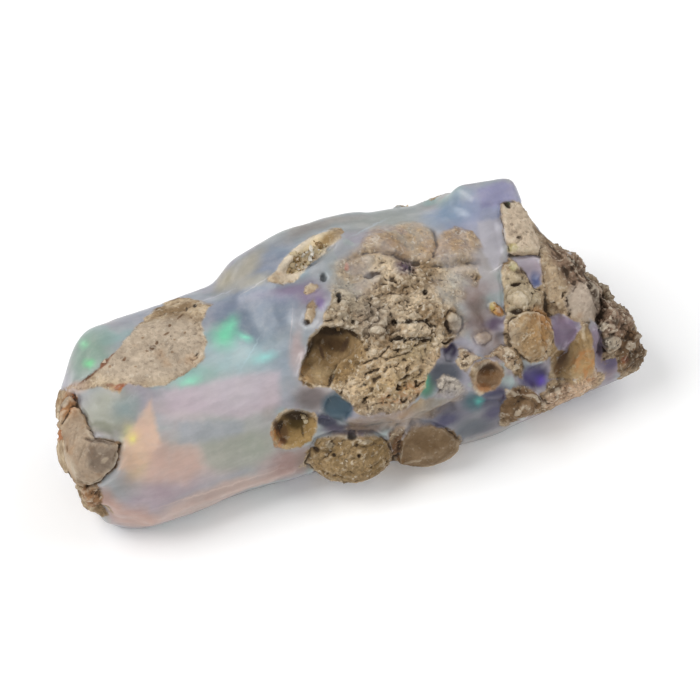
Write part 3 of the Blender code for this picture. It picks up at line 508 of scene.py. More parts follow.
# Small marks on host rock: a patch and its colour.
SPECKS = {
    "lens_rust": (-15.32, -2.47, 0.48, 0.25, 15, "#8A4A30"),
    "lens_speck_top": (-10.54, 2.99, 0.15, 0.14, 0, "#1E1610"),
    "lens_speck_top_left": (-11.09, 2.75, 0.11, 0.18, 0, "#3A2C20"),
    "lens_speck_end": (-16.0, -2.34, 0.34, 0.14, 0, "#8A6A54"),
    "red_spot": (-0.21, 5.63, 0.18, 0.32, 0, "#A45E42"),
    "black_pit": (-1.79, 4.95, 0.23, 0.34, 0, "#221B16"),
    "pit_middle": (-0.76, 3.5, 0.21, 0.41, 0, "#4E4034"),
    "pit_right": (5.08, 3.91, 0.21, 0.23, 0, "#2E241A"),
    "pit_low": (3.02, 1.85, 0.27, 0.23, 0, "#2A2018"),
    "pit_lower": (3.98, 1.92, 0.21, 0.21, 0, "#33281E"),
    "pit_left": (-2.95, 1.85, 0.3, 0.23, 0, "#40342A"),
    "crack_upper": (4.4, 1.92, 1.37, 0.12, 4, "#33281C"),
    "crack_middle": (4.26, 0.76, 1.44, 0.14, 4, "#382B1E"),
    "dark_upper": (1.58, 5.08, 0.69, 0.27, 10, "#54432F"),
    "dark_side": (2.95, 4.46, 0.27, 0.62, 15, "#54432F"),
    "star_streak": (4.05, 5.43, 0.11, 0.41, 0, "#1C1820"),
    "star_streak_left": (3.57, 5.91, 0.41, 0.12, 60, "#2A2238"),
    # The hollow's dark walls: painted shade under its rim.
    "hollow_wall_left": (-2.95, -0.14, 0.31, 1.37, -28, "#2A1E12"),
    "hollow_wall_top": (-1.3, 1.3, 1.37, 0.38, 0, "#2E2114"),
    "hollow_wall_right": (0.14, 1.17, 0.82, 0.18, -38, "#4A3826"),
    "hollow_fold": (-1.24, -1.92, 0.18, 0.62, -20, "#33261A"),
    "hollow_foot_edge": (-3.02, -2.27, 0.62, 0.14, -20, "#5E4A30"),
    # The small hollow's dark top: painted shade.
    "small_hollow_top": (-3.57, -4.4, 1.1, 0.45, 0, "#241B10"),
    "small_hollow_heart": (-3.64, -4.95, 0.62, 0.48, 0, "#54431F"),
    "small_hollow_left": (-4.95, -5.22, 0.23, 0.62, 15, "#4A3220"),
    "small_hollow_spot": (-4.6, -6.18, 0.34, 0.27, 0, "#5A3A22"),
    # The cup's dark upper part: painted shade.
    "cup_top": (9.2, -1.17, 0.89, 0.41, 0, "#452F1C"),
    "cup_rust": (9.07, -2.54, 0.55, 0.34, 0, "#A2744C"),
    "oval_pit": (0.14, -5.91, 0.38, 0.27, 0, "#1E1710"),
    "oval_dot": (-1.1, -7.14, 0.18, 0.14, 0, "#4A3B26"),
    "oval_dot_right": (0.62, -7.21, 0.16, 0.16, 0, "#54432C"),
    "oval_dot_low": (-0.27, -7.49, 0.14, 0.14, 0, "#5A4A32"),
    "oval_left": (-2.27, -6.8, 0.27, 0.27, 0, "#5E4A30"),
    "oval_seam": (2.61, -5.63, 0.21, 0.48, 0, "#5E4230"),
    "gap_brown": (3.23, -6.46, 0.34, 0.82, -10, "#6E4E34"),
    "hole_upper": (11.37, 4.46, 0.45, 0.16, 10, "#4A3A28"),
    "hole_lower": (11.37, 2.64, 0.55, 0.21, 8, "#3E3020"),
    "slab_notch": (10.85, 10.03, 0.21, 0.38, -25, "#34432F"),
    "slab_green": (11.13, 7.01, 0.48, 0.34, 0, "#A39A66"),
    "green_grain": (11.2, 5.77, 0.34, 0.38, 0, "#B0A878"),
    "yellow_grain": (9.62, 3.02, 0.37, 0.34, 0, "#B8A45E"),
    "orange_grain": (10.23, 2.68, 0.27, 0.41, 0, "#8E5E34"),
    "fold_right": (-18.34, -3.3, 0.34, 0.16, -40, "#6A4028"),
    "fold_low": (-19.51, -5.22, 0.48, 0.15, -30, "#2E2116"),
    "knob_eye": (-19.68, -5.77, 0.23, 0.41, -12, "#A05A34"),
    "left_black": (-20.26, -3.91, 0.16, 0.34, 0, "#2A2C20"),
    "knob_speck": (-19.02, -8.45, 0.27, 0.21, -45, "#120E0A"),
    "knob_rim": (-15.66, -7.76, 0.21, 0.69, -22, "#4E3826"),
    "knob_rim_low": (-16.83, -8.79, 0.82, 0.16, 32, "#54402C"),
    "knob_streak": (-18.82, -6.59, 0.12, 0.34, 0, "#5A4838"),
    "knob_seam": (-17.1, -5.91, 0.69, 0.14, -10, "#7C6A58"),
    "crust_crack": (14.15, 6.87, 0.96, 0.12, -48, "#4A3828"),
    "crust_gap": (17.24, 1.44, 0.21, 0.55, 0, "#33281E"),
    "crust_gap_low": (17.51, -0.07, 0.55, 0.14, 8, "#33281E"),
    "crust_rust": (19.09, -0.69, 0.34, 0.27, 30, "#7E4A34"),
    "crust_black_low": (19.44, -1.1, 0.55, 0.14, 40, "#2C211A"),
    "crust_dark_middle": (16.76, 3.98, 0.27, 0.62, 30, "#4A3A2C"),
    "crust_dark_low": (18.41, 1.92, 0.34, 0.27, -30, "#4A3A2C"),
    "triangle_edge": (13.05, -3.37, 0.76, 0.14, -35, "#56402C"),
    "triangle_dark": (11.47, -2.95, 0.82, 0.34, 0, "#5E4630"),
    "strip_dark": (14.15, -2.68, 0.69, 0.21, 25, "#5A4634"),
    "lace_gap": (10.37, -1.1, 0.55, 0.16, -40, "#5A4838"),
    "lace_gap_left": (7.76, -0.96, 0.34, 0.16, 0, "#5E4C3C"),
    "round_lump_edge": (6.59, 1.65, 0.14, 0.55, 10, "#4E3C2C"),
    "lens_edge": (-17.45, -1.72, 0.96, 0.17, 38, "#5E3A26"),
    "lens_edge_upper": (-16.48, -0.89, 0.62, 0.2, 44, "#6E4028"),
    "lens_edge_end": (-18.54, -2.2, 0.34, 0.12, 30, "#7E5C44"),
    "cup_heart": (9.34, -1.51, 0.55, 0.27, 0, "#6A4C30"),
    "fold_outer": (-19.23, -3.57, 0.27, 0.89, -38, "#4A2A18"),
    # Dark brown in the hollow's upper part: painted shade.
    "hollow_brown": (-0.96, 0.34, 0.89, 0.48, -12, "#553F26"),
    "hollow_streak": (-0.07, 0.34, 0.14, 0.41, 30, "#4A3721"),
    "crust_black_upper": (15.45, 6.04, 0.82, 0.16, -42, "#3E3024"),
    "crust_black": (16.48, 5.08, 0.55, 0.21, -42, "#2C211A"),
    # The fan's dark left side: painted shade.
    "fan_dark": (14.7, -0.41, 0.69, 0.18, 55, "#5E4426"),
    "fan_dark_low": (14.29, -1.24, 0.48, 0.27, 60, "#6A4E2E"),
    # A painted highlight along the fan's left ridge.
    "fan_edge": (14.15, -0.14, 0.82, 0.08, 50, "#C0A888"),
    "fan_light": (15.59, 0.27, 0.82, 0.14, 62, "#A98C60"),
    "fan_low": (15.45, -2.06, 0.55, 0.27, 20, "#B39C7A"),
    "fan_side": (16.96, -1.51, 0.21, 0.55, 0, "#B59C84"),
    "grey_dark": (17.24, 2.34, 0.34, 0.17, -30, "#2E2420"),
    "grey_dark_low": (17.65, 1.85, 0.27, 0.14, 20, "#3A2C24"),
    "grey_side": (17.31, 3.64, 0.55, 0.1, -75, "#5E5044"),
    "crust_black_middle": (16.62, 4.6, 0.48, 0.18, -45, "#2C2018"),
    "crust_black_fine": (15.45, 5.49, 0.41, 0.08, -55, "#3C2E24"),
    "crust_fleck": (18.48, 2.82, 0.34, 0.08, -50, "#5A4838"),
    "crust_fleck_low": (19.09, 1.37, 0.27, 0.09, -40, "#4E3E30"),
    "crust_fleck_tip": (19.78, 0.41, 0.27, 0.09, 60, "#5A4632"),
    "knob_rim_side": (-15.59, -7.21, 0.76, 0.11, 78, "#4E3722"),
    "knob_rim_foot": (-16.41, -8.52, 0.62, 0.1, 38, "#5C4530"),
    "knob_streak_long": (-17.72, -6.66, 0.89, 0.1, 68, "#8A7864"),
    "knob_streak_side": (-18.27, -5.63, 0.82, 0.11, 80, "#8E7C68"),
    "knob_streak_low": (-17.86, -8.79, 0.69, 0.1, -12, "#7E6A52"),
    # The top of the knob's cap: darker, partly painted shade.
    "knob_cap_top": (-16.76, -6.04, 0.76, 0.15, -8, "#5C4C40"),
    "knob_cap_light": (-16.21, -7.28, 0.34, 0.16, 40, "#9C8C78"),
    "fold_orange": (-18.48, -3.09, 0.34, 0.12, -50, "#864A24"),
    "fold_brown": (-19.23, -3.64, 0.55, 0.1, 48, "#5E4228"),
    "knob_orange": (-19.64, -5.77, 0.25, 0.34, 15, "#A4714E"),
    "knob_notch": (-19.3, -5.43, 0.16, 0.12, 0, "#2E2018"),
    "lens_g": (-15.11, -0.62, 0.18, 0.12, 40, "#745338"),
    "lens_h": (-13.6, -0.07, 0.12, 0.07, 0, "#7C6248"),
    "lens_i": (-13.94, 0.82, 0.11, 0.07, 20, "#8A7258"),
    "lens_j": (-11.81, 0.69, 0.1, 0.07, 0, "#8E765C"),
    "lens_k": (-10.78, 2.2, 0.14, 0.07, -20, "#8E765C"),
    "lens_l": (-15.8, -0.07, 0.16, 0.07, 45, "#8A6A4C"),
    "lens_m": (-16.07, -1.1, 0.12, 0.08, 30, "#8E7258"),
    "lens_n": (-14.35, -1.1, 0.1, 0.07, 0, "#947C62"),
    "lens_a": (-13.26, 0.14, 0.29, 0.18, 35, "#4E3420"),
    "lens_b": (-12.98, 0.48, 0.16, 0.11, 70, "#5E442C"),
    "lens_c": (-12.36, 1.1, 0.25, 0.08, 25, "#6E543C"),
    "lens_d": (-12.16, 1.65, 0.14, 0.1, 60, "#70563C"),
    "lens_e": (-11.47, 2.27, 0.29, 0.08, 40, "#644A32"),
    "lens_f": (-11.2, 2.68, 0.11, 0.1, 0, "#7A6248"),
    # More painted shade on the fan's left side.
    "fan_dark_side": (14.63, -0.48, 0.76, 0.27, 55, "#4E341C"),
    "fan_dark_foot": (14.29, -1.37, 0.41, 0.27, 70, "#644828"),
    "lace_dark": (7.76, 0.62, 0.41, 0.16, -40, "#4A382C"),
    "lace_dark_low": (8.24, 0.0, 0.34, 0.14, 20, "#5A4636"),
    "lens_edge_top": (-15.87, -0.21, 0.41, 0.11, 48, "#7E5438"),
    "lens_o": (-14.08, 1.92, 0.27, 0.07, 40, "#86704F"),
    "lens_p": (-13.05, 2.82, 0.27, 0.07, 35, "#86704F"),
    "lens_q": (-11.95, -0.14, 0.12, 0.08, 10, "#8E765C"),
    "lens_r": (-11.13, 1.17, 0.11, 0.07, 60, "#8A7054"),
    # The hollow's dark left and upper edges: painted shade.
    "hollow_edge": (-4.33, -1.03, 0.15, 0.62, 12, "#3A2A1C"),
    "hollow_edge_top": (-3.23, 1.1, 0.82, 0.14, 28, "#33251A"),
    "hollow_streak": (-0.34, 0.34, 0.21, 0.69, -25, "#5A4430"),
    "hollow_streak_left": (-1.92, -0.14, 0.14, 0.62, 15, "#5A4430"),
    "hollow_pale": (-1.37, -1.51, 0.69, 0.21, 12, "#A08A66"),
    # The small hollow's dark upper edges: painted shade.
    "small_hollow_edge": (-4.74, -5.08, 0.21, 0.48, -20, "#33261A"),
    "small_hollow_root": (-3.43, -4.6, 0.62, 0.14, 5, "#3A2C1C"),
    "small_hollow_streak": (-3.23, -5.49, 0.1, 0.48, 10, "#5A482A"),
    "oval_pale": (-1.37, -6.46, 0.34, 0.23, 0, "#A2937A"),
    "oval_pale_right": (1.1, -6.25, 0.41, 0.18, 8, "#9E8E74"),
    "oval_dark": (2.4, -6.04, 0.27, 0.14, -30, "#4A3626"),
}

# The play of colour: a patch, its softness and its colour. Later patches lie over earlier ones.
FIRE = {
    "top_band": (-12.0, 3.0, 8.0, 1.5, 20, 0.8, "#9FA3AC"),
    "left_top": (-17.6, -0.4, 2.0, 2.8, 20, 0.7, "#88A191"),
    "behind_lens": (-6.6, 2.4, 3.6, 2.4, 15, 0.7, "#77869C"),
    "teal_zone": (-7.2, -0.4, 4.4, 2.0, 12, 0.8, "#ADC6C8"),
    "teal_left": (-10.6, -1.9, 2.4, 0.9, 12, 0.8, "#93BDB2"),
    "right_of_teal": (-4.4, -0.6, 1.8, 2.6, 0, 0.9, "#99A2AD"),
    "lilac_band": (-8.2, -3.0, 4.4, 1.4, 8, 0.8, "#BCC4C3"),
    "pink_left": (-11.0, -4.0, 2.6, 1.6, 20, 0.8, "#C3B4B8"),
    "peach_foot": (-13.2, -7.6, 2.4, 1.6, 0, 0.8, "#D3B29E"),
    "yellow": (-14.5, -5.7, 0.8, 1.0, 0, 0.9, "#D2C97D"),
    "yellow_foot": (-14.2, -7.4, 0.9, 1.2, 0, 0.9, "#DCC594"),
    "sage": (-16.2, -4.2, 2.1, 1.9, 20, 0.6, "#949684"),
    "sage_blue": (-15.0, -3.8, 1.2, 0.8, 30, 0.9, "#909E9E"),
    "grey_teal": (-8.0, -5.2, 4.8, 1.5, 6, 0.9, "#B3B5AE"),
    "grey_green": (-6.4, -6.4, 2.6, 1.2, 10, 0.9, "#A8A99B"),
    "mauve_band": (-10.6, -7.6, 4.6, 1.6, 12, 0.9, "#D1BBAF"),
    "lavender_foot": (-12.4, -9.6, 3.6, 1.3, 20, 0.9, "#B19CA4"),
    "pink_edge": (-9.6, -10.2, 7.8, 1.0, 18, 0.5, "#C0A79C"),
    "pink_foot": (-14.6, -11.4, 2.2, 1.2, -20, 0.6, "#B69080"),
    "mauve_notch": (-4.2, -7.6, 1.9, 1.2, 20, 0.8, "#A07E75"),
    "ridge": (-5.6, 6.0, 4.2, 3.6, 35, 0.8, "#838C9E"),
    "ridge_beige": (-7.2, 5.6, 2.4, 0.8, 50, 0.8, "#AAA391"),
    "ridge_beige_foot": (-6.6, 4.6, 1.6, 0.5, 20, 0.8, "#A7A396"),
    "ridge_blue": (-1.2, 8.6, 3.2, 0.8, 20, 0.8, "#8A97A2"),
    "ridge_violet": (-5.6, 3.4, 2.6, 0.6, 12, 0.8, "#9590A8"),
    "violet_shadow": (-2.6, 3.8, 1.4, 1.0, 0, 0.8, "#85728D"),
    "mass_back": (1.4, 8.8, 3.6, 0.9, 12, 0.8, "#9A9E99"),
    "peak": (9.4, 9.6, 4.2, 2.0, 12, 0.7, "#99A1BD"),
    "peak_blue": (6.8, 9.4, 1.8, 1.0, 10, 0.8, "#8B9FB6"),
    "skin_right": (9.6, 6.4, 1.2, 2.8, 0, 0.7, "#A19B99"),
    "skin_low": (8.6, 3.6, 1.2, 1.2, 0, 0.9, "#917C75"),
    "skin_mauve": (8.8, 2.2, 1.6, 1.4, 0, 0.8, "#7E6C67"),
    "window": (12.2, 5.4, 1.6, 1.4, 0, 0.4, "#C9BECA"),
    "right_lavender": (14.8, 1.6, 1.7, 1.6, 20, 0.6, "#86718D"),
    "right_grey": (14.8, 3.0, 1.0, 0.8, 0, 0.8, "#A8A09A"),
    "right_edge": (17.6, -1.0, 1.2, 1.8, 20, 0.8, "#8A7682"),
    "foot_lavender": (9.8, -5.0, 1.7, 1.0, 18, 0.7, "#706A74"),
    "left_fold": (-18.54, -2.61, 1.24, 0.55, 15, 0.7, "#BBA596"),
    "foot_rose": (-16.07, -10.3, 0.89, 1.65, 30, 0.8, "#B69182"),
    "hollow_side": (-3.57, 0.0, 0.55, 1.79, 0, 0.8, "#B7A6A4"),
    "ridge_tan": (-8.59, 4.81, 0.62, 1.1, -35, 0.8, "#ADA58F"),
    "ridge_top_tan": (-1.37, 8.79, 2.75, 0.41, 12, 0.9, "#A39E98"),
    "ridge_grey": (-3.3, 8.17, 1.92, 0.62, 24, 0.8, "#8E8985"),
    "under_facet": (-5.49, 2.75, 1.51, 1.1, 20, 0.9, "#7F8798"),
    "lilac_side": (-5.36, -3.43, 0.69, 1.24, 0, 0.9, "#A0958E"),
}

# Dark or clear opal, painted shade under the skirt, and fine threads in it, in the same way.
DEPTHS = {
    "under_hollow": (-2.61, -3.3, 1.37, 0.96, 0, 0.6, "#756A68"),
    "blue_window": (-0.82, -3.85, 1.17, 1.1, -20, 0.35, "#2E4E5E"),
    "blue_window_foot": (-1.65, -4.81, 1.1, 0.48, -25, 0.5, "#2C2C48"),
    # Painted shade under the skirt's ledge.
    "shade_under_skirt": (0.14, -5.43, 2.34, 0.48, 0, 0.5, "#4A4254"),
    "green_window": (5.15, -2.4, 0.76, 0.96, 0, 0.6, "#4C7E64"),
    "slate_window": (6.39, -1.65, 1.3, 1.17, 0, 0.5, "#3E444E"),
    "lower_slate": (6.87, -4.4, 3.16, 1.17, 18, 0.5, "#716F7B"),
    "lower_blue": (8.24, -5.49, 2.06, 0.96, 18, 0.7, "#555C66"),
    "lower_violet": (6.59, -4.81, 1.1, 0.48, 20, 0.7, "#3C3A5C"),
    "teal_dot": (8.52, -3.5, 0.89, 0.82, 0, 0.8, "#2E646C"),
    "violet_blue": (9.96, -3.3, 1.51, 1.03, 10, 0.6, "#1C1A48"),
    "violet": (12.64, -1.85, 1.17, 0.96, 10, 0.5, "#2E2150"),
    "violet_pit": (6.8, 0.0, 0.62, 0.62, 0, 0.6, "#3C3250"),
    "window_blue": (12.77, 4.81, 0.41, 0.62, 0, 0.8, "#56689C"),
    "lavender_low": (14.63, 1.03, 0.96, 1.03, -20, 0.6, "#8B798E"),
    "right_violet": (17.99, -0.76, 0.89, 0.76, 20, 0.6, "#5C5070"),
    "skin_lavender": (9.89, 1.79, 0.96, 0.55, 15, 0.7, "#5A485F"),
    "violet_bit": (2.75, -3.71, 0.27, 0.31, 0, 0.6, "#4A3474"),
    "pocket_violet": (-4.05, 4.05, 1.24, 0.34, 8, 0.8, "#8E8198"),
    "violet_wedge": (-1.99, 3.16, 0.34, 0.55, 20, 0.7, "#826F98"),
    "foot_edge": (7.21, -6.73, 0.82, 0.41, 20, 0.6, "#3E4A5C"),
    "notch": (-3.16, -7.55, 0.62, 1.03, 0, 0.8, "#8C786E"),
    "lower_violet_right": (9.89, -4.26, 0.96, 0.55, 20, 0.7, "#464262"),
    "right_strip": (17.1, 0.34, 1.79, 0.55, -78, 0.5, "#827382"),
    "thread_teal": (-6.8, -0.34, 1.3, 0.06, 60, 0.9, "#B4CACF"),
    "thread_upper": (-9.2, 3.64, 1.79, 0.05, 20, 0.9, "#B4B6BE"),
    "thread_ridge": (-6.04, 4.6, 1.51, 0.05, 32, 0.9, "#B8B6B4"),
    "thread_pocket": (1.24, 8.38, 2.06, 0.07, 28, 0.9, "#AEB6BA"),
    "thread_skin": (10.1, 5.63, 0.62, 0.05, 35, 0.9, "#DAD6D8"),
    "thread_side": (-3.98, 1.37, 1.51, 0.05, 86, 0.9, "#B4B0B2"),
    "thread_foot": (-9.27, -9.48, 4.81, 0.07, 17, 0.9, "#CDB9AE"),
}

# Patches of colour with straight, crisper edges, seen from the front: (edge in mm, colour, marks).
FACETS = {
    "peach": (0.25, "#DCBAA1", (
        (-15.06, -6.01), (-15.32, -7.9), (-14.25, -8.1), (-13.29, -7.28), (-12.6, -6.18), (-13.31, -3.43),
    )),
    "blue_block": (0.3, "#A3A8AE", (
        (-11.37, -6.18), (-8.93, -6.25), (-7.11, -5.49), (-7.21, -4.7), (-11.47, -4.81),
    )),
    "sage_block": (0.45, "#A2A79A", (
        (-9.82, -7.55), (-8.93, -8.21), (-6.52, -7.9), (-5.49, -6.87), (-6.18, -5.6), (-9.96, -6.18),
    )),
    "salmon_block": (0.5, "#CBADA0", (
        (-13.56, -8.59), (-10.99, -9.01), (-9.87, -7.9), (-10.3, -6.56), (-12.71, -6.39), (-13.31, -6.87),
    )),
    "lilac_block": (0.35, "#C2B4BC", (
        (-12.02, -3.98), (-7.21, -4.6), (-4.74, -3.64), (-4.74, -1.44), (-7.55, -1.72), (-12.36, -2.82),
    )),
    "blue_facet": (0.6, "#778493", (
        (-7.9, 0.86), (-6.18, 0.34), (-4.19, 1.2), (-4.12, 3.09), (-7.21, 3.61), (-8.93, 2.4),
    )),
    "peak_violet": (0.25, "#8F8DB0", (
        (9.07, 9.75), (10.3, 9.89), (11.54, 10.3), (11.26, 11.4), (10.51, 11.81), (8.79, 10.99),
    )),
    "skin_wedge": (0.15, "#B9B6BE", (
        (8.93, 7.14), (9.82, 5.36), (10.16, 5.77), (10.51, 6.87), (10.44, 9.2), (8.79, 8.79),
    )),
    "white_band": (0.15, "#AFA3A8", (
        (16.76, -0.34), (17.17, -2.06), (17.58, -1.65), (17.45, 0.0), (16.96, 1.17), (16.48, 1.51),
    )),
}

# Small bright flashes, which also have a little painted glow, in the same way.
FLASHES = {
    "green_main": (-8.5, 0.9, 1.0, 0.9, 40, 1.2, "#58D89E"),
    "green_upper": (-8.1, 1.6, 0.9, 0.5, 60, 1.2, "#74D8AC"),
    "green_right": (-7.1, 0.9, 0.6, 0.3, -25, 1.2, "#86EBC6"),
    "green_left_foot": (-10.7, -2.1, 0.8, 0.35, 15, 1.2, "#7ED8B4"),
    "teal_streak": (-5.8, -0.5, 1.0, 0.4, 15, 1.2, "#93DCD4"),
    "green_top": (-17.5, -0.9, 0.45, 0.35, 0, 1.2, "#6EDC92"),
    "green_top_upper": (-17.9, 0.4, 0.4, 0.35, 0, 1.2, "#8FD8A8"),
    "yellow_dot": (-14.5, -5.9, 0.35, 0.4, 0, 1.2, "#D8D468"),
    "blue_dot": (8.8, -3.5, 0.35, 0.35, 0, 1.2, "#3CC0AE"),
    "indigo": (12.5, -1.8, 0.9, 0.7, 0, 1.2, "#473C80"),
    "violet_dot": (13.2, -2.1, 0.45, 0.4, 0, 1.2, "#6040C0"),
    "green_dot": (5.0, -2.1, 0.35, 0.6, 0, 1.2, "#4FBE96"),
}

# Patches where small crystals grow.
POCKETS = {
    "long_pocket": (-3.1, 6.2, 2.3, 0.65, 40),
    "small_hollow_edge": (-3.0, -4.6, 0.6, 0.3, -20),
}

# Small lumps and, with a rise below zero, pits: a patch and its rise in mm.
LUMPS = {
    "black_pit": (-1.79, 4.95, 0.22, 0.32, 0, -0.55),
    "pit_left": (-2.95, 1.85, 0.27, 0.21, 0, -0.3),
    "pit_middle": (-0.76, 3.5, 0.21, 0.41, 0, -0.3),
    "pit_right": (5.08, 3.91, 0.17, 0.21, 0, -0.35),
    "pit_low": (3.02, 1.85, 0.25, 0.21, 0, -0.45),
    "pit_lower": (3.98, 1.92, 0.18, 0.17, 0, -0.35),
    "pit_small": (0.14, 1.92, 0.14, 0.14, 0, -0.25),
    "grain_upper": (1.92, 4.67, 0.48, 0.27, -10, 0.28),
    "grain_beside": (2.4, 4.05, 0.41, 0.25, -20, 0.25),
    "grain_a": (1.03, 2.68, 0.27, 0.41, 10, 0.22),
    "grain_b": (1.72, 3.16, 0.34, 0.41, -20, 0.25),
    "grain_c": (2.4, 2.54, 0.34, 0.34, 0, 0.25),
    "grain_d": (1.85, 1.3, 0.34, 0.27, 0, 0.25),
    "grain_e": (3.09, 3.43, 0.41, 0.27, 30, 0.22),
    "grain_f": (3.71, 0.07, 0.48, 0.27, 25, 0.25),
    "grain_g": (5.08, 1.3, 0.41, 0.34, 30, 0.25),
    "grain_h": (2.88, -0.82, 0.48, 0.27, 20, 0.22),
    "grain_i": (1.51, -0.14, 0.41, 0.27, 30, 0.22),
    "groove_upper": (1.51, 5.08, 0.62, 0.24, 15, -0.3),
    "groove_side": (2.95, 4.6, 0.27, 0.55, 20, -0.28),
    "groove_low": (3.43, 0.89, 0.62, 0.17, 12, -0.35),
    "groove_lower": (4.81, 0.48, 0.62, 0.15, 25, -0.35),
    "groove_left": (0.82, 0.48, 0.55, 0.16, 40, -0.25),
    "groove_foot": (1.51, -1.44, 0.62, 0.15, 20, -0.28),
    "groove_foot_right": (3.71, -1.85, 0.48, 0.14, 25, -0.28),
    "green_grain": (11.2, 5.77, 0.34, 0.41, 0, 0.28),
    "pink_grain": (11.74, 4.88, 0.62, 0.41, -15, 0.25),
    "hole_upper": (11.33, 4.46, 0.41, 0.15, 10, -0.4),
    "pale_pebble": (11.54, 3.57, 0.82, 0.62, 5, 0.45),
    "hole_lower": (11.37, 2.68, 0.48, 0.21, 8, -0.45),
    "pale_grain": (12.77, 3.5, 0.41, 0.41, 0, 0.22),
    "yellow_grain": (9.68, 3.02, 0.34, 0.34, 0, 0.25),
    "orange_grain": (10.16, 2.68, 0.34, 0.34, 0, 0.22),
    "grey_pebble": (17.96, 0.48, 0.62, 0.55, 0, 0.45),
    "tan_pebble": (17.96, 1.51, 0.41, 0.34, 0, 0.35),
    "crust_pebble": (18.68, 1.17, 0.34, 0.27, 0, 0.3),
    "crust_pit": (17.24, 1.51, 0.21, 0.41, 0, -0.45),
    "crust_pit_low": (17.45, -0.14, 0.41, 0.17, 10, -0.4),
    "crust_pit_upper": (16.0, 5.36, 0.48, 0.21, -40, -0.45),
    "crust_grain": (19.37, 0.34, 0.41, 0.34, 0, 0.3),
    "crust_pit_middle": (16.48, 4.46, 0.21, 0.34, 30, -0.4),
    "oval_grain": (-1.65, -6.46, 0.48, 0.32, 10, 0.28),
    "oval_pit": (0.14, -5.91, 0.34, 0.25, 0, -0.5),
    "oval_lump": (1.03, -6.25, 0.55, 0.30, 0, 0.22),
    "oval_dot": (-1.1, -7.14, 0.16, 0.14, 0, -0.25),
    "oval_dot_right": (0.62, -7.21, 0.16, 0.16, 0, -0.25),
    "oval_dot_left": (-2.27, -6.8, 0.21, 0.21, 0, -0.25),
    "oval_dot_foot": (-0.96, -8.52, 0.21, 0.14, 0, -0.2),
    "knob_speck": (-19.02, -8.45, 0.22, 0.21, -40, -0.45),
    "knob_eye": (-19.64, -5.7, 0.21, 0.34, -15, -0.3),
    "slab_notch": (10.85, 9.96, 0.21, 0.34, 30, -0.4),
    "slab_dent": (10.92, 7.07, 0.21, 0.41, 10, -0.25),
    "slab_dent_right": (11.61, 7.62, 0.34, 0.21, 30, -0.2),
    "strip_grain": (14.42, -2.75, 0.41, 0.27, 25, 0.22),
    "strip_grain_left": (13.8, -3.37, 0.34, 0.21, 30, 0.2),
    "triangle_grain": (10.78, -4.81, 0.27, 0.21, 40, 0.25),
    "triangle_grain_right": (11.54, -4.26, 0.27, 0.18, 30, 0.2),
    "lace_grain": (7.69, -0.21, 0.41, 0.27, 0, 0.22),
    "lace_grain_right": (10.92, -0.14, 0.41, 0.34, -20, 0.22),
    "lace_spike": (11.54, -1.3, 0.27, 0.55, 25, 0.22),
    "red_grain": (-0.21, 5.63, 0.21, 0.34, 0, 0.12),
    "fold_dome": (-19.02, -3.71, 0.48, 0.76, -30, 0.25),
    "knob_dome": (-18.54, -7.01, 1.51, 2.06, 18, 0.16),
    "cap_dome": (-16.41, -7.07, 1.1, 1.17, 0, 0.18),
}

# Gentle pushes that bring the outline true: (across, up, reach, push across, push up), all in mm.
NUDGES = {
    "left_end": (-20.2, -1.5, 1.5, 0.50, 0.0),
    "left_shoulder": (-18.4, 0.9, 1.5, -0.10, 0.45),
    "left_top": (-16.2, 1.9, 1.6, 0.0, 0.25),
    "peak_top": (10.7, 11.6, 1.1, 0.05, 0.25),
    "right_upper": (13.6, 8.3, 1.2, -0.20, -0.10),
    "right_middle": (15.4, 6.6, 1.2, -0.05, -0.05),
    "right_low": (17.4, 4.2, 1.2, 0.12, 0.12),
    "right_foot": (19.6, 1.6, 1.2, 0.25, 0.20),
}

# Raised rims round hollows: the hollow's patch, and the rim's thickness and height in mm.
RIMS = {
    "pocket": (-2.9, 6.2, 2.9, 0.85, 38, 0.22, 0.20),
    "cup": (9.3, -1.7, 1.15, 1.0, 0, 0.18, 0.20),
    "small_hollow": (-3.8, -5.2, 1.55, 1.35, 20, 0.22, 0.16),
    "big_hollow": (-1.2, -0.6, 2.2, 2.2, 30, 0.25, 0.12),
}

